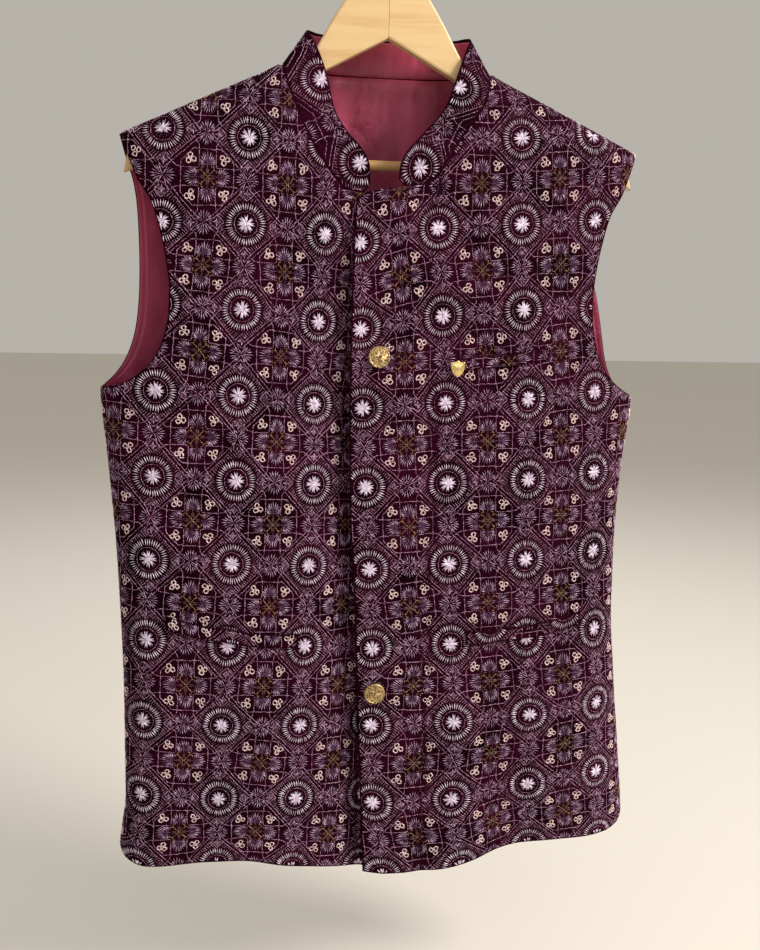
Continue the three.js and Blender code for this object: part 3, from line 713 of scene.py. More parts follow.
# Octagon: a quarter with its outline, dividers, a fan, forked gold and three loops, turned
# to the other three
def octagonChart():
    near, far = repeat["octagon"]
    gap, fine, leaf = repeat["divider"], repeat["fine"], repeat["trefoil"]
    outline = [
        chain([(-near, far), (near, far)], 2.4, fine * 1.1, 0.4, "line"),
        chain([(near, far), (far, near)], 2.4, fine * 1.1, 0.4, "line"),
    ]
    bent = [(gap, gap + 0.6), (gap - 0.2, 15), (gap, far), (gap + 0.6, 27), (gap + 3.4, 30.6)]
    divider = chain(bent, 2.4, fine, 0.36, "line")
    base, length = repeat["fan"]
    spread = 74
    angles = np.linspace(90 - spread, 90 + spread, 13)
    reach = length * (1 - 0.45 * (np.abs(angles - 90) / spread) ** 1.2)
    fan = [
        rays((0, base), angles[1:-1:2], 1.2, reach[1:-1:2] * 0.6, fine, 0.35, "violet"),
        rays((0, base), angles, reach * 0.45, reach, 0.95, 0.42, "lilac"),
        chain([(0, base - 1.5), (0, base + 7)], 3, fine, 0.4, "violet"),
    ]
    fork = [
        chain([(0, 0), (5.6, 5.6)], 2.6, 0.85, 0.5, "gold"),
        chain([(5.2, 5.2), (8.0, 5.6), (9.0, 3.9), (7.6, 3.2)], 2.2, 0.75, 0.5, "gold"),
        chain([(5.2, 5.2), (5.6, 8.0), (3.9, 9.0), (3.2, 7.6)], 2.2, 0.75, 0.5, "gold"),
    ]
    petal = stitches([-0.9, 0.9], 1.6, [-0.6, 0.6], 7.0, 1.9, 0.42, "rust")
    loops = []
    for angle in (75, 195, 315):
        a = math.radians(angle)
        centre = (leaf + 2.7 * math.cos(a), leaf + 2.7 * math.sin(a))
        loops.append(circle(centre, 2.05, 6, 1.5, 0.6, "cream"))
    stem = chain([(11.0, 11.0), (13.2, 13.2)], 2.5, 1.0, 0.4, "cream")
    quarter = [*outline, divider, mirrored(divider), *fan, *fork, petal, *loops, stem]
    return quarterTurns(np.concatenate(quarter))


# Flower on a side of the square that runs across, with its fans up and down, a diamond and
# a spark on both sides, and a cross in its middle
def flowerChart():
    fine, spread, side, half = repeat["fine"], 64, 11, 6.2
    angles = np.linspace(90 - spread, 90 + spread, 9)
    reach = 10.4 * (1 - 0.26 * (np.abs(angles - 90) / spread) ** 1.2)
    fan = np.concatenate([
        rays((0, 0.3), angles[::2], 1.4, reach[::2] * 0.6, fine, 0.34, "line"),
        rays((0, 0.3), angles, reach * 0.5, reach, 0.95, 0.4, "lilac"),
    ])
    corners = [(side - half, 0), (side, half), (side + half, 0), (side, -half), (side - half, 0)]
    beside = np.concatenate([
        chain(corners, 2.9, fine, 0.34, "line"),
        rays((side, 0), np.array([0, 90, 180, 270]), 0.3, 3.6, 0.9, 0.4, "lilac"),
        rays((side, 0), np.array([45, 135, 225, 315]), 0.3, 2.3, fine * 0.8, 0.34, "line"),
    ])
    cross = rays((0, 0), np.array([32, 148, 212, 328]), 0.2, 5.4, fine, 0.34, "line")
    return np.concatenate([quarterTurns(fan, (0, 2)), quarterTurns(beside, (0, 2)), cross])


# Motifs of one repeat, each with its place in the square as shares of its sides
medallion, octagon, flower = medallionChart(), octagonChart(), flowerChart()
motifs = [
    (medallion, 0.0, 0.0),
    (octagon, 0.5, 0.5),
    (flower, 0.5, 0.0),
    (quarterTurns(flower, (1,)), 0.0, 0.5),
]
print("repeat charted:", sum(len(chart) for chart, right, down in motifs), "stitches")


# Length of cloth across or down at a place in the lattice: squares in its column and row
def wander(terms, column, row):
    level, byColumn, byRow, both, columnTwice, rowTwice = terms
    return (level + byColumn * column + byRow * row + both * column * row
            + columnTwice * column**2 + rowTwice * row**2)


# How unevenly the machine stitches: the turn of a motif, the shift of one and of each end
# of a stitch, and the range of widths
unevenness = {"turn": 0.028, "end": 0.22, "motif": 0.45, "width": (0.7, 1.2)}
# Reach of a pull in the cloth, in squares
pullReach = 0.5


# The motifs laid over a lattice, each one turned and shifted a little, and so is each end
# of a stitch. Where the cloth was pulled, a bell round one place of the lattice shifts what
# lies near it
def layRepeats(lattice):
    size = repeat["size"]
    pitch, stretch = lattice.get("pitch", (size, size)), lattice.get("stretch", 1)
    middle = lattice.get("middle", (0, 0))
    columns, rows = np.meshgrid(np.arange(*lattice["columns"]), np.arange(*lattice["rows"]))
    laid = []
    for motif, right, down in lattice.get("motifs", motifs):
        corner = np.stack([columns.ravel() + right, rows.ravel() + down], -1)
        count = len(corner)
        turn = dice.normal(0, unevenness["turn"], count)[:, None, None]
        x, y = motif[None, :, [0, 2]] * stretch, motif[None, :, [1, 3]]
        shake = dice.normal(0, unevenness["end"], (2, count, len(motif), 2))
        shake = shake + dice.normal(0, unevenness["motif"], (2, count, 1, 1))
        across = (x * np.cos(turn) - y * np.sin(turn) + shake[0]) / pitch[0]
        up = (x * np.sin(turn) + y * np.cos(turn) + shake[1]) / pitch[1]
        column, row = corner[:, 0, None, None] + across, corner[:, 1, None, None] + up
        chart = np.repeat(motif[None], count, axis=0)
        chart[..., [0, 2]] = wander(lattice["across"], column - middle[0], row - middle[1])
        chart[..., [1, 3]] = wander(lattice["down"], column - middle[0], row - middle[1])
        for pulledColumn, pulledRow, byAcross, byDown in lattice.get("pulls", ()):
            apart = (column - pulledColumn) ** 2 + (row - pulledRow) ** 2
            near = np.exp(-apart / pullReach**2)
            chart[..., [0, 2]] += byAcross * near
            chart[..., [1, 3]] += byDown * near
        chart[..., 4] *= dice.uniform(*unevenness["width"], chart.shape[:2])
        laid.append(chart.reshape(-1, 7))
    return np.concatenate(laid)


# A stitch goes down past its ends and starts below the pile. A cut one has to keep a share
# of its length
stitch = {"past": 0.35, "sunk": 0.1, "kept": 0.35}


# Raised stitches: each a slim leaf with a point at both ends, two at its sides and one raised
# in its middle, closed below. ends are points on the cloth, out the way that leads away from it
def stitchMesh(ends, out, width, rise):
    along = ends[:, 1] - ends[:, 0]
    side = unit(np.cross(out, along)) * (width / 2)[:, None]
    past = unit(along) * stitch["past"]
    middle = ends.mean(axis=1) - out * stitch["sunk"]
    top = middle + out * (rise + stitch["sunk"])[:, None]
    points = np.stack([ends[:, 0] - past, middle - side, ends[:, 1] + past, middle + side, top], 1)
    leaf = np.array([[0, 1, 4], [1, 2, 4], [2, 3, 4], [3, 0, 4], [0, 3, 1], [1, 3, 2]])
    faces = np.arange(len(ends))[:, None, None] * 5 + leaf[None]
    return points.reshape(-1, 3), facingOut(points.reshape(-1, 3), faces.reshape(-1, 3))


# Cuts stitches that leave the cloth: an end outside is drawn back to the last place inside,
# found by halving the stitch, and stitches with no end inside are left out
def cutToCloth(ends, isInside):
    kept = isInside(ends)
    inner = np.where(kept[:, :1, None], ends[:, :1], ends[:, 1:])
    near, far = np.repeat(inner, 2, axis=1), ends.copy()
    for _ in range(4):
        half = (near + far) / 2
        good = isInside(half)[..., None]
        near, far = np.where(good, half, near), np.where(good, far, half)
    cut = np.where(kept[..., None], ends, near)
    length, whole = (np.linalg.norm(e[:, 1] - e[:, 0], axis=-1) for e in (cut, ends))
    return cut, kept.any(axis=1) & (length > stitch["kept"] * whole)


# Sets a chart's stitches on cloth that at() gives for two lengths along it, and joins them in
# one piece. outward is a rough direction that leads away from the wearer
def setStitches(name, chart, at, a, b, step, outward):
    middleA, middleB = a.mean(axis=1), b.mean(axis=1)
    across = at(middleA + step[0], middleB) - at(middleA - step[0], middleB)
    up = at(middleA, middleB + step[1]) - at(middleA, middleB - step[1])
    out = unit(np.cross(across, up))
    out *= np.where((out * outward).sum(axis=-1, keepdims=True) < 0, -1, 1)
    ends = np.stack([at(a[:, 0], b[:, 0]), at(a[:, 1], b[:, 1])], 1)
    points, faces = stitchMesh(ends, out, chart[:, 4], chart[:, 5])
    piece = makePiece(name, points, faces, list(threads.values()), np.repeat(chart[:, 6], 6),
                      smooth=False)
    print(name, len(chart), "stitches")
    return piece


# Embroidery of a panel: the stitches inside its edges, on its cloth
def embroider(name, panel, lattice, half=0):
    chart = layRepeats(lattice)
    face, hem = panel["face"], body["hem"]
    ends = np.stack([chart[:, [0, 2]], -chart[:, [1, 3]]], -1)

    def isInside(places):
        length, height = places[..., 0], places[..., 1]
        first, last = panelEdges(panel, height)
        low = lengthAcross(face, np.minimum(first, last), height) + edgeMargin
        high = lengthAcross(face, np.maximum(first, last), height) - edgeMargin
        inside = (length > low) & (length < high)
        inside &= (height < panelTop) & (height > hem + edgeMargin)
        return inside & (half * length >= 0) if half else inside

    def at(length, height):
        return clothPoint(panel, placeAcross(face, length, height), height)

    near = ((np.abs(ends[..., 0]) < layReach) & (ends[..., 1] > hem - 20)).all(axis=1)
    chart, ends = chart[near], ends[near]
    ends, kept = cutToCloth(ends, isInside)
    chart, ends = chart[kept], ends[kept]
    outward = np.array([0, face, 0])
    return setStitches(name, chart, at, ends[..., 0], ends[..., 1], (1.5, 1.5), outward)


# Panels of velvet, cut through the repeat where it falls: terms of the lattice's two
# lengths, and pulls, each with its column and row and how far it goes across and down
lattices = {
    "front_left": {
        "middle": (-2, 4), "columns": (-5, 2), "rows": (-2, 10),
        "across": (-129.8, 69.2, -3.2, 0.5, -2.8, -0.1),
        "down": (497.8, 2.9, 72.8, -0.6, -0.6, 0.3),
        "pulls": [
            (-1, 1, 1.1, 3.3), (-1, 2, -1.4, 4.9), (-1, 3, -2.9, 1.3), (-3, 1, -0.9, 5.2),
            (-2, 7, -3.0, 3.3), (-2, 8, -2.5, 5.3),
        ],
    },
    "front_right": {
        "middle": (1, 4), "columns": (-2, 5), "rows": (-2, 10),
        "across": (54.2, 71.6, 3.8, 0.1, -0.6, 0.2),
        "down": (499.0, -3.9, 73.0, 0.8, -0.2, 0.2),
        "pulls": [
            (1, 0, 1.0, -5.0), (0, 1, 0.5, 6.8), (0, 2, -0.6, 8.4), (0, 3, -1.0, 3.4),
            (1, 1, -5.0, -0.7), (1, 3, 0.4, 3.3), (2, 3, 3.5, 3.6), (2, 4, 3.0, 2.5),
            (0, 7, -4.6, -2.0), (0, 8, -6.3, 1.1), (1, 8, -5.4, 0.7), (2, 7, 5.8, 3.5),
            (3, 7, 3.4, -2.9), (2, 8, 0.6, 5.1),
        ],
    },
    "back": {
        "middle": (0, 4), "columns": (-5, 5), "rows": (-2, 10),
        "across": (0.0, 73.0, -0.6, 0.2, 0.0, 0.1),
        "down": (500.0, 0.9, 73.0, 0.1, -0.3, 0.0),
    },
}
cloth = {
    "frontWall": 2.0, "backWall": 1.8, "liningWall": 1.0,
    "rows": 140, "frontColumns": 60, "backColumns": 96,
    "roll": 0.5, "liningRoll": 0.3,  # how far a rolled edge bulges
}


# Both fronts: outer face, inner face a wall further in, and their embroidery
def makeFronts():
    for name in ("front_left", "front_right"):
        panel = panels[name]
        outer = panelGrid(panel, cloth["rows"], cloth["frontColumns"])
        inner = movedIn(outer, panel["face"], cloth["frontWall"])
        piece = makeCloth(name + "_velvet", outer, inner, cloth["roll"], [velvet, satin])
        stitched = embroider(name + "_embroidery", panel, lattices[name])
        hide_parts(name)


makeFronts()
print("fronts made")

# The lining of the back is gathered a little where it meets the collar: where, half width,
# depth and length of each gather, in no order
gatherColumns = ("x", "width", "depth", "length")
gathers = [
    (-46, 3.5, 2.2, 60), (-38, 5, 1.6, 95), (-29, 2.6, 2.0, 42), (-16, 5, 2.3, 110),
    (-5, 3, 1.6, 50), (5, 4, 2.1, 80), (15, 2.8, 1.8, 38), (26, 5.5, 2.3, 105),
    (39, 4, 1.8, 70), (51, 5, 2.0, 85), (-62, 6, 1.8, 80), (68, 6, 1.6, 60),
]
gatherSize = 1.7  # times the depths above
# The top of the back rises a little away from the neck: how much, from where, how far down
backTop = {"rise": 1.0, "from": 35, "down": 6}


# Sum of the gathers: a bell across each, running out with the distance from the neck seam
def gatherDepth(x, below):
    total = np.zeros(np.broadcast(x, below).shape)
    for gather in gathers:
        g = dict(zip(gatherColumns, gather))
        fade = smoothStep(below / 6) * np.exp(-((below / g["length"]) ** 2))
        total += gatherSize * g["depth"] * fade * np.exp(-(((x - g["x"]) / g["width"]) ** 2))
    return total


# The back and its lining, which lies one seam gap inside it and gathers below the neck
def makeBack():
    panel = panels["back"]
    outer = panelGrid(panel, cloth["rows"], cloth["backColumns"])
    beside = smoothStep((np.abs(outer[..., 0]) - backTop["from"]) / backTop["from"])
    down = (panelTop - outer[..., 2]) / backTop["down"]
    outer[..., 2] += backTop["rise"] * beside * np.exp(-(down**2))
    inner = movedIn(outer, 1, cloth["backWall"])
    piece = makeCloth("back_velvet", outer, inner, cloth["roll"], [velvet, satin])
    stitched = [embroider("back_embroidery_" + side, panel, lattices["back"], half)
                for side, half in (("left", -1), ("right", 1))]
    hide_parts("back")
    within = outer[:-3, 2:-2]
    near = cloth["backWall"] + body["seamGap"]
    liningOut = movedIn(within, 1, near)
    plain = movedIn(within, 1, near + cloth["liningWall"])
    soft = gatherDepth(plain[..., 0], panelTop - plain[..., 2])
    liningIn = plain - unit(liningOut - plain) * soft[..., None]
    piece = makeCloth("back_lining_satin", liningOut, liningIn, cloth["liningRoll"], [satin])
    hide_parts("back_lining")


makeBack()
print("back and its lining made")

# Collar, from the centre front to the centre back: seam on the neckline, and top edge
collar = {
    "seamX": [17, 21, 27, 35, 43, 51, 64, 74, 82.5, 87.5, 88.9, 89.5, 87, 70, 39, 0],
    "seamZ": [-253, -252.8, -252, -249, -240, -228, -207, -190, -173, -158, -150, -146,
              -146.5, -147, -147.5, -147.5],
    "seamZRight": [-246.6, -246.2, -245.5, -243.7, -238.9],  # its right end sits a little higher
    "seamYBehind": [0, 13, 26, 34, 36.5],  # of the last points; the others lie on the fronts
    "topX": [12.5, 12.8, 13.6, 16, 21, 30, 41, 48.5, 53.5, 60, 66, 71, 70, 60, 36, 0],
    "topY": [-39.5, -39.5, -39, -38, -36.5, -33, -28, -22.5, -17, -12, -6, 3, 13, 25.5, 33,
             35.5],
    "topZ": [-246, -237, -230, -223.5, -216, -206, -192, -178.5, -162, -143, -128, -118,
             -115, -115, -115.5, -116],
    "topZRight": [-241.5, -235, -229.5],
    "shift": (-5.5, -165, 45),  # the neck runs off centre below this height, over this run
    "topShift": (2.5, -200, 60),  # and its top edge the other way above this one
    "height": 36.0,  # from seam to top edge, about
    "wall": 2.0,
    "rows": 18,
    "columns": 240,
    "liningWall": 1.0,
    "liningPart": (0.015, 0.93, 14, 0.02, 0.98, 200),  # shares up and rows, round and columns
}


# Points of the collar's seam and top edge, all round from the left front to the right one
def collarPoints():
    x, z = np.array(collar["seamX"], float), np.array(collar["seamZ"], float)
    top = np.array([collar["topX"], collar["topY"], collar["topZ"]], float).T
    amount, below, run = collar["shift"]
    lean, above, rise = collar["topShift"]
    seams, tops = [], []
    for side in (-1, 1):
        if side > 0:
            z[:len(collar["seamZRight"])] = collar["seamZRight"]
            top[:len(collar["topZRight"]), 2] = collar["topZRight"]
        y = clothDepth(-1, side * x, z)
        y[-len(collar["seamYBehind"]):] = collar["seamYBehind"]
        shift = amount * smoothStep((below - z) / run)
        seams.append(np.stack([side * x + shift, y, z], -1))
        shift = amount * smoothStep((below - top[:, 2]) / run)
        shift = shift + lean * smoothStep((top[:, 2] - above) / rise)
        tops.append(np.stack([side * top[:, 0] + shift, top[:, 1], top[:, 2]], -1))
    return [np.concatenate([left, right[-2::-1]]) for left, right in (seams, tops)]


# Smooth curve through points, even steps of t from one to the next: a cubic whose slopes
# weigh the chords on both sides by the square root of their lengths
def throughPoints(points, t):
    ends = (2 * points[:1] - points[1:2], 2 * points[-1:] - points[-2:-1])
    padded = np.concatenate([ends[0], points, ends[1]])
    place = np.clip(t, 0, 1) * (len(points) - 1)
    i = np.minimum(place.astype(int), len(points) - 2)
    w = (place - i)[..., None]
    a, b, c, d = (padded[i + k] for k in range(4))
    ab, bc, cd = (np.sqrt(np.linalg.norm(q - p, axis=-1, keepdims=True))
                  for p, q in ((a, b), (b, c), (c, d)))
    first = ((b - a) / ab - (c - a) / (ab + bc) + (c - b) / bc) * bc
    last = ((c - b) / bc - (d - b) / (bc + cd) + (d - c) / cd) * bc
    cubic = 2 * (b - c) + first + last
    return b + w * (first + w * (3 * (c - b) - 2 * first - last + w * cubic))


collarSeam, collarTop = collarPoints()


# Point of the collar: a share of the way round, and a share of the way up
def collarPoint(t, rise):
    rise = np.asarray(rise)[..., None]
    return throughPoints(collarSeam, t) * (1 - rise) + throughPoints(collarTop, t) * rise


# Points of the collar at even shares of the way up and of the way round
def collarGrid(low, high, rows, first, last, columns):
    up, along = np.linspace(low, high, rows + 1), np.linspace(first, last, columns + 1)
    rise, t = np.meshgrid(up, along, indexing="ij")
    return collarPoint(t, rise)


# A grid moved along its normals, towards the neck for a positive distance
def movedToNeck(grid, distance):
    normals = gridNormals(grid)
    behind = normals[grid.shape[0] // 2, grid.shape[1] // 2, 1]
    return grid - normals * np.sign(behind) * distance


# Length along the collar's middle line, at even shares of the way round
collarShare = np.linspace(0, 1, 1201)
middleStep = np.diff(collarPoint(collarShare, 0.5), axis=0)
collarRun = np.concatenate([[0], np.cumsum(np.linalg.norm(middleStep, axis=-1))])


# Where a length along the collar's middle line and a height above it meet the collar: the
# share round and the share up, found in a few steps from a first guess, and how far they miss
def onCollar(length, height):
    share = np.interp(length, collarRun, collarShare)
    small = 1e-3
    middle = collarPoint(share, 0.5)
    along = unit(collarPoint(np.minimum(share + small, 1), 0.5)
                 - collarPoint(np.maximum(share - small, 0), 0.5))
    up = collarPoint(share, 0.6) - middle
    up = unit(up - along * (up * along).sum(axis=-1, keepdims=True))
    target = middle + up * height[..., None]
    turn, rise = share.copy(), 0.5 + height / collar["height"]
    for _ in range(6):
        here = collarPoint(turn, rise)
        byRound = (collarPoint(turn + small, rise) - here) / small
        byRise = (collarPoint(turn, rise + small) - here) / small
        error = target - here
        pairs = ((byRound, byRound), (byRound, byRise), (byRise, byRise), (error, byRound),
                 (error, byRise))
        aa, ab, bb, ea, eb = ((p * q).sum(axis=-1) for p, q in pairs)
        scale = np.maximum(aa * bb - ab * ab, 1e-6)
        turn = turn + np.clip((ea * bb - eb * ab) / scale, -0.03, 0.03)
        rise = rise + np.clip((eb * aa - ea * ab) / scale, -0.3, 0.3)
        turn, rise = np.clip(turn, 0, 1 - 2 * small), np.clip(rise, -0.3, 1.3)
    return turn, rise, np.linalg.norm(target - collarPoint(turn, rise), axis=-1)


# One row of medallions runs along the collar from each front end, with flowers between them.
# Octagons without their cream loops are cut off at both edges. The two runs meet at the
# centre back
collarOctagon = octagon[octagon[:, 6] != threadOrder.index("cream")]
collarRow = {
    "motifs": [
        (medallion, 0.0, 0.0),
        (flower, 0.5, 0.0),
        (collarOctagon, 0.5, 0.5),
        (collarOctagon, 0.5, -0.5),
    ],
    "stretch": 1.06, "columns": (-1, 4), "rows": (0, 1),
}
collarLattices = {
    "left": {
        **collarRow, "pitch": (84.0, 73.0),
        "across": (19.5, 85.6, 0, 0, 0, 0), "down": (-7.3, -3.4, 73.0, 0, 0, 0),
    },
    "right": {
        **collarRow, "pitch": (83.0, 73.0),
        "across": (20.4, 83.0, 0, 0, 0, 0), "down": (1.5, -20.0, 73.0, 0, 8.0, 0),
    },
}


# Embroidery of half the collar. Each end is found as a share round and a share up, and the
# stitches are cut to its edges there, with both shares as lengths
def embroiderCollar(side):
    chart = layRepeats(collarLattices[side])
    length, height = chart[:, [0, 2]], -chart[:, [1, 3]]
    whole = np.array([collarRun[-1], collar["height"]])
    near = (np.abs(height) < 30) & (length > -4) & (length < whole[0] / 2 - edgeMargin)
    near = near.all(axis=1)
    chart, length, height = chart[near], length[near], height[near]
    share, rise, miss = onCollar(whole[0] - length if side == "right" else length, height)
    near = (miss < 1.5).all(axis=1)
    chart, share, rise = chart[near], share[near], rise[near]

    def isInside(places):
        return ((places > edgeMargin) & (places < whole - edgeMargin)).all(axis=-1)

    ends, kept = cutToCloth(np.stack([share, rise], -1) * whole, isInside)
    chart, share, rise = chart[kept], ends[kept, :, 0] / whole[0], ends[kept, :, 1] / whole[1]
    outward = collarPoint(share.mean(axis=1), rise.mean(axis=1)) * np.array([1, 1, 0])
    return setStitches("collar_embroidery_" + side, chart, collarPoint, share, rise,
                       (0.003, 0.04), outward)


# The collar, its embroidery from both ends, and its lining inside
def makeCollar():
    outer = collarGrid(0, 1, collar["rows"], 0, 1, collar["columns"])
    inner = movedToNeck(outer, collar["wall"])
    piece = makeCloth("collar_velvet", outer, inner, cloth["roll"], [velvet])
    stitched = [embroiderCollar(side) for side in ("left", "right")]
    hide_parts("collar")
    base = collarGrid(*collar["liningPart"])
    near = collar["wall"] + body["seamGap"]
    out = movedToNeck(base, near)
    plain = movedToNeck(base, near + collar["liningWall"])
    soft = gatherDepth(plain[..., 0], plain[..., 2] - panelTop) * (plain[..., 1] > 20)
    inside = plain + unit(plain - out) * soft[..., None]
    piece = makeCloth("collar_lining_satin", out, inside, cloth["liningRoll"], [satin])
    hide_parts("collar_lining")


makeCollar()
print("collar and its lining made")

# Welt pockets: the two ends of the middle line, its sag and height, and the place of the
# repeat, which is cut across without a match. The mouth stands open a little along the top
weltColumns = ("name", "x0", "z0", "x1", "z1", "sag", "height", "match")
welts = [
    ("chest_welt", 58, -396.5, 143, -385.5, 1, 10, (11.0, 40.0)),
    ("lower_welt_left", -189, -625, -75, -640, 4, 12, (-16.0, 21.0)),
    ("lower_welt_right", 76, -641, 185, -628, 3, 12, (23.0, -12.0)),
]
weltShape = {
    "lift": 0.6, "wall": 1.6, "open": 2.4, "roll": 0.4, "rows": 10, "columns": 110,
    "low": (0.012, 0.05), "high": (0.988, 0.95),  # stitches lie between these shares
}


# Point near the fronts' outer face, and the direction that leads away from the cloth there
def onFront(x, z):
    x, z = np.asarray(x, float), np.asarray(z, float)

    def at(across, up):
        lift = np.where(across > readTable(frontEdge, "z", "over", up), overlapLift(across), 0)
        return np.stack([across, clothDepth(-1, across, up) - lift, up], -1)

    out = unit(np.cross(at(x + 4, z) - at(x - 4, z), at(x, z + 4) - at(x, z - 4)))
    return at(x, z), out * np.where(out[..., [1]] > 0, -1, 1)


# Point of a welt: a share along it and a share up it, at a height over the cloth. It sags
# and waves a little, and along the top it stands off, most in two places
def weltPoint(welt, along, up, lift):
    along, up = np.broadcast_arrays(np.asarray(along, float), np.asarray(up, float))
    arch = np.sin(math.pi * np.clip(along, 0, 1))
    x = welt["x0"] + along * (welt["x1"] - welt["x0"])
    bow = welt["sag"] * arch + 0.5 * np.sin(11 * along + welt["x0"])
    bow = bow + 0.7 * up * np.sin(23 * along + welt["x1"]) * arch
    middle = welt["z0"] + along * (welt["z1"] - welt["z0"]) - bow
    point, out = onFront(x, middle + welt["height"] * (up - 0.5))
    gape = arch * (0.6 + 0.4 * np.sin(9 * along + welt["x1"]))
    gape = weltShape["open"] * gape * smoothStep((up - 0.35) / 0.65)
    return point + out * (lift + gape)[..., None]


# Each welt: a thin band that stands a little open along its top, with stitches of its own
def makeWelts():
    low, high = weltShape["lift"], weltShape["lift"] + weltShape["wall"]
    up, along = np.meshgrid(np.linspace(1, 0, weltShape["rows"] + 1),
                            np.linspace(0, 1, weltShape["columns"] + 1), indexing="ij")

    def isInside(place):
        return ((place > weltShape["low"]) & (place < weltShape["high"])).all(axis=-1)

    for row in welts:
        welt = dict(zip(weltColumns, row))

        def at(share, rise, welt=welt):
            return weltPoint(welt, share, rise, high)

        outer, inner = at(along, up), weltPoint(welt, along, up, low)
        piece = makeCloth(welt["name"] + "_velvet", outer, inner, weltShape["roll"], [velvet])
        width = math.hypot(welt["x1"] - welt["x0"], welt["z1"] - welt["z0"])
        right, down = welt["match"]
        chart = layRepeats({
            "columns": (-1, 3), "rows": (-1, 2),
            "across": (right, 73.0, 0, 0, 0, 0), "down": (down, 0, 73.0, 0, 0, 0),
        })
        share, rise = chart[:, [0, 2]] / width, 0.5 - chart[:, [1, 3]] / welt["height"]
        ends, kept = cutToCloth(np.stack([share, rise], -1), isInside)
        stitched = setStitches(welt["name"] + "_embroidery", chart[kept], at, ends[kept, :, 0],
                               ends[kept, :, 1], (0.02, 0.1), np.array([0, -1.0, 0]))
        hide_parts(welt["name"])


makeWelts()
print("welts made")

# Buttons: a chased dome inside a beaded rim, on a round shank
button = {
    "button_upper": (-9, -390),
    "button_lower": (-7, -688),
    "radius": 9.5,
    "thickness": 3.0,
    "shankRadius": 2.5,
    "shankLength": 1.6,
    "beads": 40,
}


# Brass, cast and antiqued: bright on the high places, browned in the hollows
def antiqueBrass(name, bright, brown):
    material, tree, place = startMaterial(name)
    spot = noise(tree, place["Object"], 620.0, 3.0, 0.6)
    endMaterial(tree, {
        "Base Color": blend(tree, spot, 0.38, 0.58, brown, bright),
        "Metallic": 1.0, "Roughness": 0.36, "Normal": bump(tree, spot, 0.7, 0.0004),
    })
    return material


# Metal polished or drawn: bright, with fine marks between a smooth and a rough value
def brightMetal(name, tone, marks, smooth, rough):
    material, tree, place = startMaterial(name)
    share = addNode(tree, "ShaderNodeMapRange", {
        "Value": noise(tree, place["Object"], marks, 2.0), "To Min": smooth, "To Max": rough,
    })
    endMaterial(tree, {
        "Base Color": colour(tone), "Metallic": 1.0, "Roughness": share.outputs["Result"],
    })
    return material


brass = antiqueBrass("antique brass, cast", "#d8bb88", "#5e4526")
gold = brightMetal("gold plate, polished", "#ffdf98", 260.0, 0.2, 0.36)


# Points given across, up and out from a place on the front, turned to lie on the cloth
def seatOnFront(points, place, lift):
    origin, out = onFront(*place)
    side = unit(np.cross([0, 0, 1.0], out))
    across, up, away = points[..., [0]], points[..., [1]], points[..., [2]] + lift
    return origin + across * side + up * np.cross(out, side) + away * out


# Closed skin over rings of points that start and end at one point each
def ringedSkin(rings, start, end):
    levels, around = rings.shape[:2]
    points = np.concatenate([rings.reshape(-1, 3), [start, end]])
    i, j = np.meshgrid(np.arange(levels - 1), np.arange(around), indexing="ij")
    a, b = i * around + j, i * around + (j + 1) % around
    sides = np.stack([a, b, b + around, a, b + around, a + around], -1).reshape(-1, 3)
    j = np.arange(around)
    following, below = (j + 1) % around, (levels - 1) * around
    first = np.stack([np.full(around, levels * around), following, j], -1)
    last = np.stack([np.full(around, levels * around + 1), below + j, below + following], -1)
    return points, facingOut(points, np.concatenate([sides, first, last]))


# Small metal thing on the front: a skin over its rings, closed in the middle below and at
# its top
def makeMetal(name, rings, top, place, lift, metal):
    ends = np.zeros(3), np.array([0, 0, top])
    seated = [seatOnFront(points, place, lift) for points in (rings, *ends)]
    return makePiece(name, *ringedSkin(*seated), [metal])


# Button from the foot of its shank to the middle of its face: radius and height of each
# ring, with beads as a wave along the rim and a chased rosette on the dome
def makeButtons():
    radius, back = button["radius"], button["shankLength"]
    rim = back + button["thickness"]
    edge = np.array([
        (button["shankRadius"], 0), (button["shankRadius"], back), (radius - 1.6, back),
        (radius - 0.7, back + 0.3), (radius - 0.1, back + 1.0), (radius, back + 1.7),
        (radius - 0.2, rim - 0.6), (radius - 0.7, rim - 0.15), (radius - 1.1, rim),
        (radius - 1.5, rim - 0.2), (radius - 1.8, rim - 0.55), (radius - 2.1, rim - 0.5),
    ])
    share = np.linspace(1, 0.06, 18)
    dome = np.stack([share * (radius - 2.4), rim - 0.45 + 0.75 * (1 - share**2)], -1)
    profile = np.concatenate([edge, dome])
    angle = np.linspace(0, 2 * math.pi, 120, endpoint=False)[None, :]
    r, h = profile[:, [0]], profile[:, [1]]
    onRim = np.exp(-(((r - radius + 1.0) / 0.5) ** 2)) * (h > rim - 1)
    onDome = (h > rim - 0.6) & (r < radius - 2)
    beads = 0.22 * onRim * np.cos(button["beads"] * angle)
    chased = 0.2 * onDome * np.sin(r * 2.6 + 3 * np.sin(5 * angle)) * np.cos(9 * angle + r * 1.7)
    rings = np.stack([r * np.cos(angle), r * np.sin(angle), h + beads + chased], -1)
    for name in ("button_upper", "button_lower"):
        piece = makeMetal(name + "_brass", rings, rim + 0.3, button[name], body["seamGap"], brass)
        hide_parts(name)


makeButtons()

# Pin: a plain shield, slightly domed. Its rings are shares of its outline and of its thickness
pin = {
    "place": (60, -399.5),
    "width": 12.5,
    "height": 14.5,
    "thickness": 1.4,
    "rings": [(0.94, 0), (1, 0.25), (1, 0.75), (0.96, 1.0), (0.9, 1.08), (0.84, 1.02),
              (0.78, 1.02), (0.5, 1.4), (0.2, 1.62)],
    "top": 1.66,
}


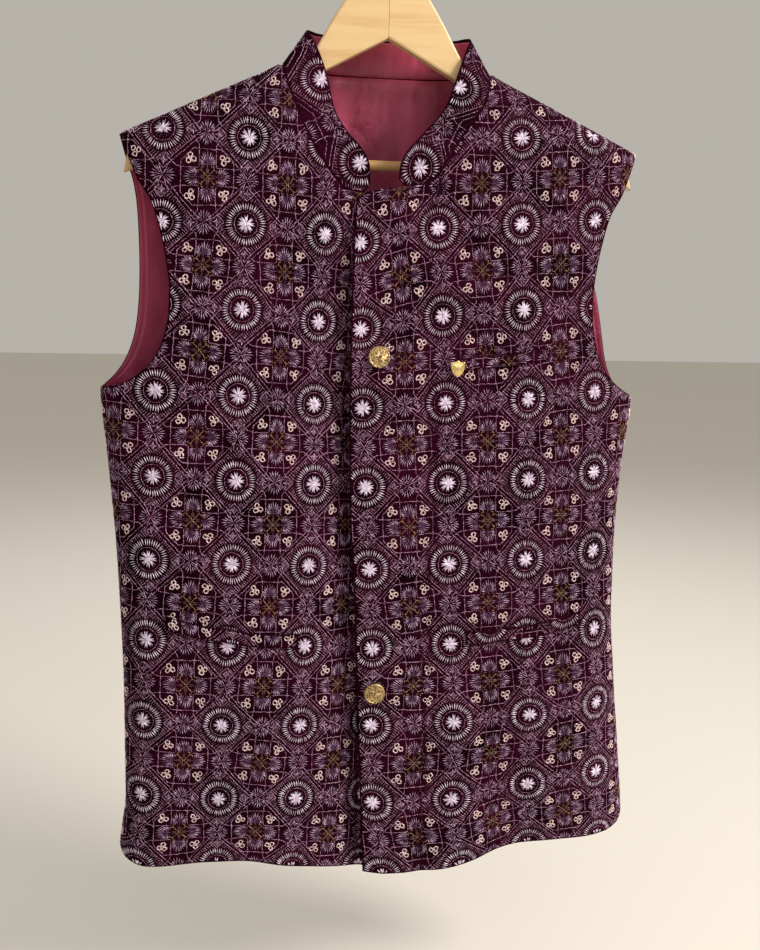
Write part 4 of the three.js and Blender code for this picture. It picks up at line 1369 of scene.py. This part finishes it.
# Outline of the shield from its point up to the right corner, over the dipped top and down
# to the point again: curves through four handles at the sides, three at the top
def shieldOutline(steps):
    w, h = pin["width"] / 2, pin["height"] / 2
    t = np.linspace(0, 1, steps, endpoint=False)[:, None]
    side = np.array([(0, -h), (w * 0.7, -h * 0.62), (w * 1.05, -h * 0.2), (w, h * 0.82)])
    top = np.array([(w, h * 0.82), (w * 0.5, h * 0.72), (0, h)])
    weights = ((1 - t) ** 3, 3 * t * (1 - t) ** 2, 3 * t * t * (1 - t), t**3)
    up = sum(p * f for p, f in zip(side, weights))
    over = sum(p * f for p, f in zip(top, ((1 - t) ** 2, 2 * t * (1 - t), t * t)))
    mirror = np.array([-1, 1])
    back = [over[:0:-1] * mirror, [side[-1] * mirror], up[:0:-1] * mirror]
    return np.concatenate([up, over, [top[-1]], *back])


# The pin: rings of the outline drawn in towards the middle, the inner ones higher
def makePin():
    outline = shieldOutline(20)
    size, height = np.array(pin["rings"]).T[..., None]
    height = height * pin["thickness"]
    rings = np.stack([outline[:, 0] * size, outline[:, 1] * size, height + 0 * outline[:, 0]], -1)
    lift = weltShape["lift"] + weltShape["wall"] + body["seamGap"]
    top = pin["thickness"] * pin["top"]
    piece = makeMetal("shield_pin_gold", rings, top, pin["place"], lift, gold)
    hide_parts("shield_pin")


makePin()
print("buttons and pin made")


# Lotus wood, planed and clear lacquered: pale, with long fibres and faint darker streaks
def clearedWood(name, pale, streak, turn):
    material, tree, place = startMaterial(name)
    along = addNode(tree, "ShaderNodeMapping", {
        "Vector": place["Object"], "Rotation": (0, turn, 0), "Scale": (9.0, 70.0, 110.0),
    })
    fibre = noise(tree, along.outputs["Vector"], 1.0, 6.0, 0.55, 0.4)
    endMaterial(tree, {
        "Base Color": blend(tree, fibre, 0.42, 0.72, pale, streak), "Roughness": 0.48,
        "Coat Weight": 0.2, "Coat Roughness": 0.3, "Normal": bump(tree, fibre, 0.08, 0.0004),
    })
    return material


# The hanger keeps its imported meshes. The grain of each arm runs along it
armSlope = 0.42
hangerFinish = {
    "hanger_arm_left": clearedWood("lotus wood, planed and lacquered, left", "#e0c08c",
                                   "#d2a86f", -armSlope),
    "hanger_arm_right": clearedWood("lotus wood, planed and lacquered, right", "#e0c08c",
                                    "#d2a86f", armSlope),
    "hanger_bar": clearedWood("lotus wood, turned and lacquered", "#e3b97c", "#cf9f5f", 0.0),
    "hook": brightMetal("steel wire, chrome plated", "#cfcfcf", 900.0, 0.16, 0.32),
}
for node, material in hangerFinish.items():
    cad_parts[node].data.materials.clear()
    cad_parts[node].data.materials.append(material)
print("hanger finished")

# Floor, lamps and surroundings, in metres and watts. Each lamp: place, width, power, colour
studio = {
    "floor": -1.02,
    "floorSize": 12.0,
    "floorTone": "#e0dbd2",
    "lamps": [
        ("window", (1.65, -1.15, 0.75), 0.8, 54.0, "#fff6ec"),
        ("fill", (0.2, -2.2, 0.9), 1.8, 8.0, "#f2f4ff"),
        ("back", (0.3, 1.6, 1.2), 1.6, 22.0, "#ffffff"),
    ],
    "aim": (0, 0, -0.5),
    "surround": ("#e2ddd3", 0.62),
}


# A floor, a window light, a softer one beside the camera and one behind
def makeStudio():
    mesh = bpy.data.meshes.new("floor")
    size, z = studio["floorSize"], studio["floor"]
    corners = [(-size, -size, z), (size, -size, z), (size, size, z), (-size, size, z)]
    mesh.from_pydata(corners, [], [(0, 1, 2, 3)])
    floor = bpy.data.objects.new("floor", mesh)
    material, tree, place = startMaterial("painted studio floor, matt")
    endMaterial(tree, {"Base Color": colour(studio["floorTone"]), "Roughness": 0.9})
    mesh.materials.append(material)
    scene.collection.objects.link(floor)
    for name, place, size, power, tone in studio["lamps"]:
        data = bpy.data.lights.new(name, "AREA")
        data.shape, data.size, data.energy, data.color = "DISK", size, power, colour(tone)[:3]
        lamp = bpy.data.objects.new(name, data)
        turn = (Vector(studio["aim"]) - Vector(place)).to_track_quat("-Z", "Y")
        lamp.matrix_world = Matrix.Translation(place) @ turn.to_matrix().to_4x4()
        scene.collection.objects.link(lamp)
    tone, strength = studio["surround"]
    world = bpy.data.worlds.new("studio")
    world.use_nodes = True
    background = world.node_tree.nodes["Background"]
    background.inputs["Color"].default_value = colour(tone)
    background.inputs["Strength"].default_value = strength
    scene.world = world
    scene.view_settings.view_transform = "Standard"


makeStudio()
print("studio made")
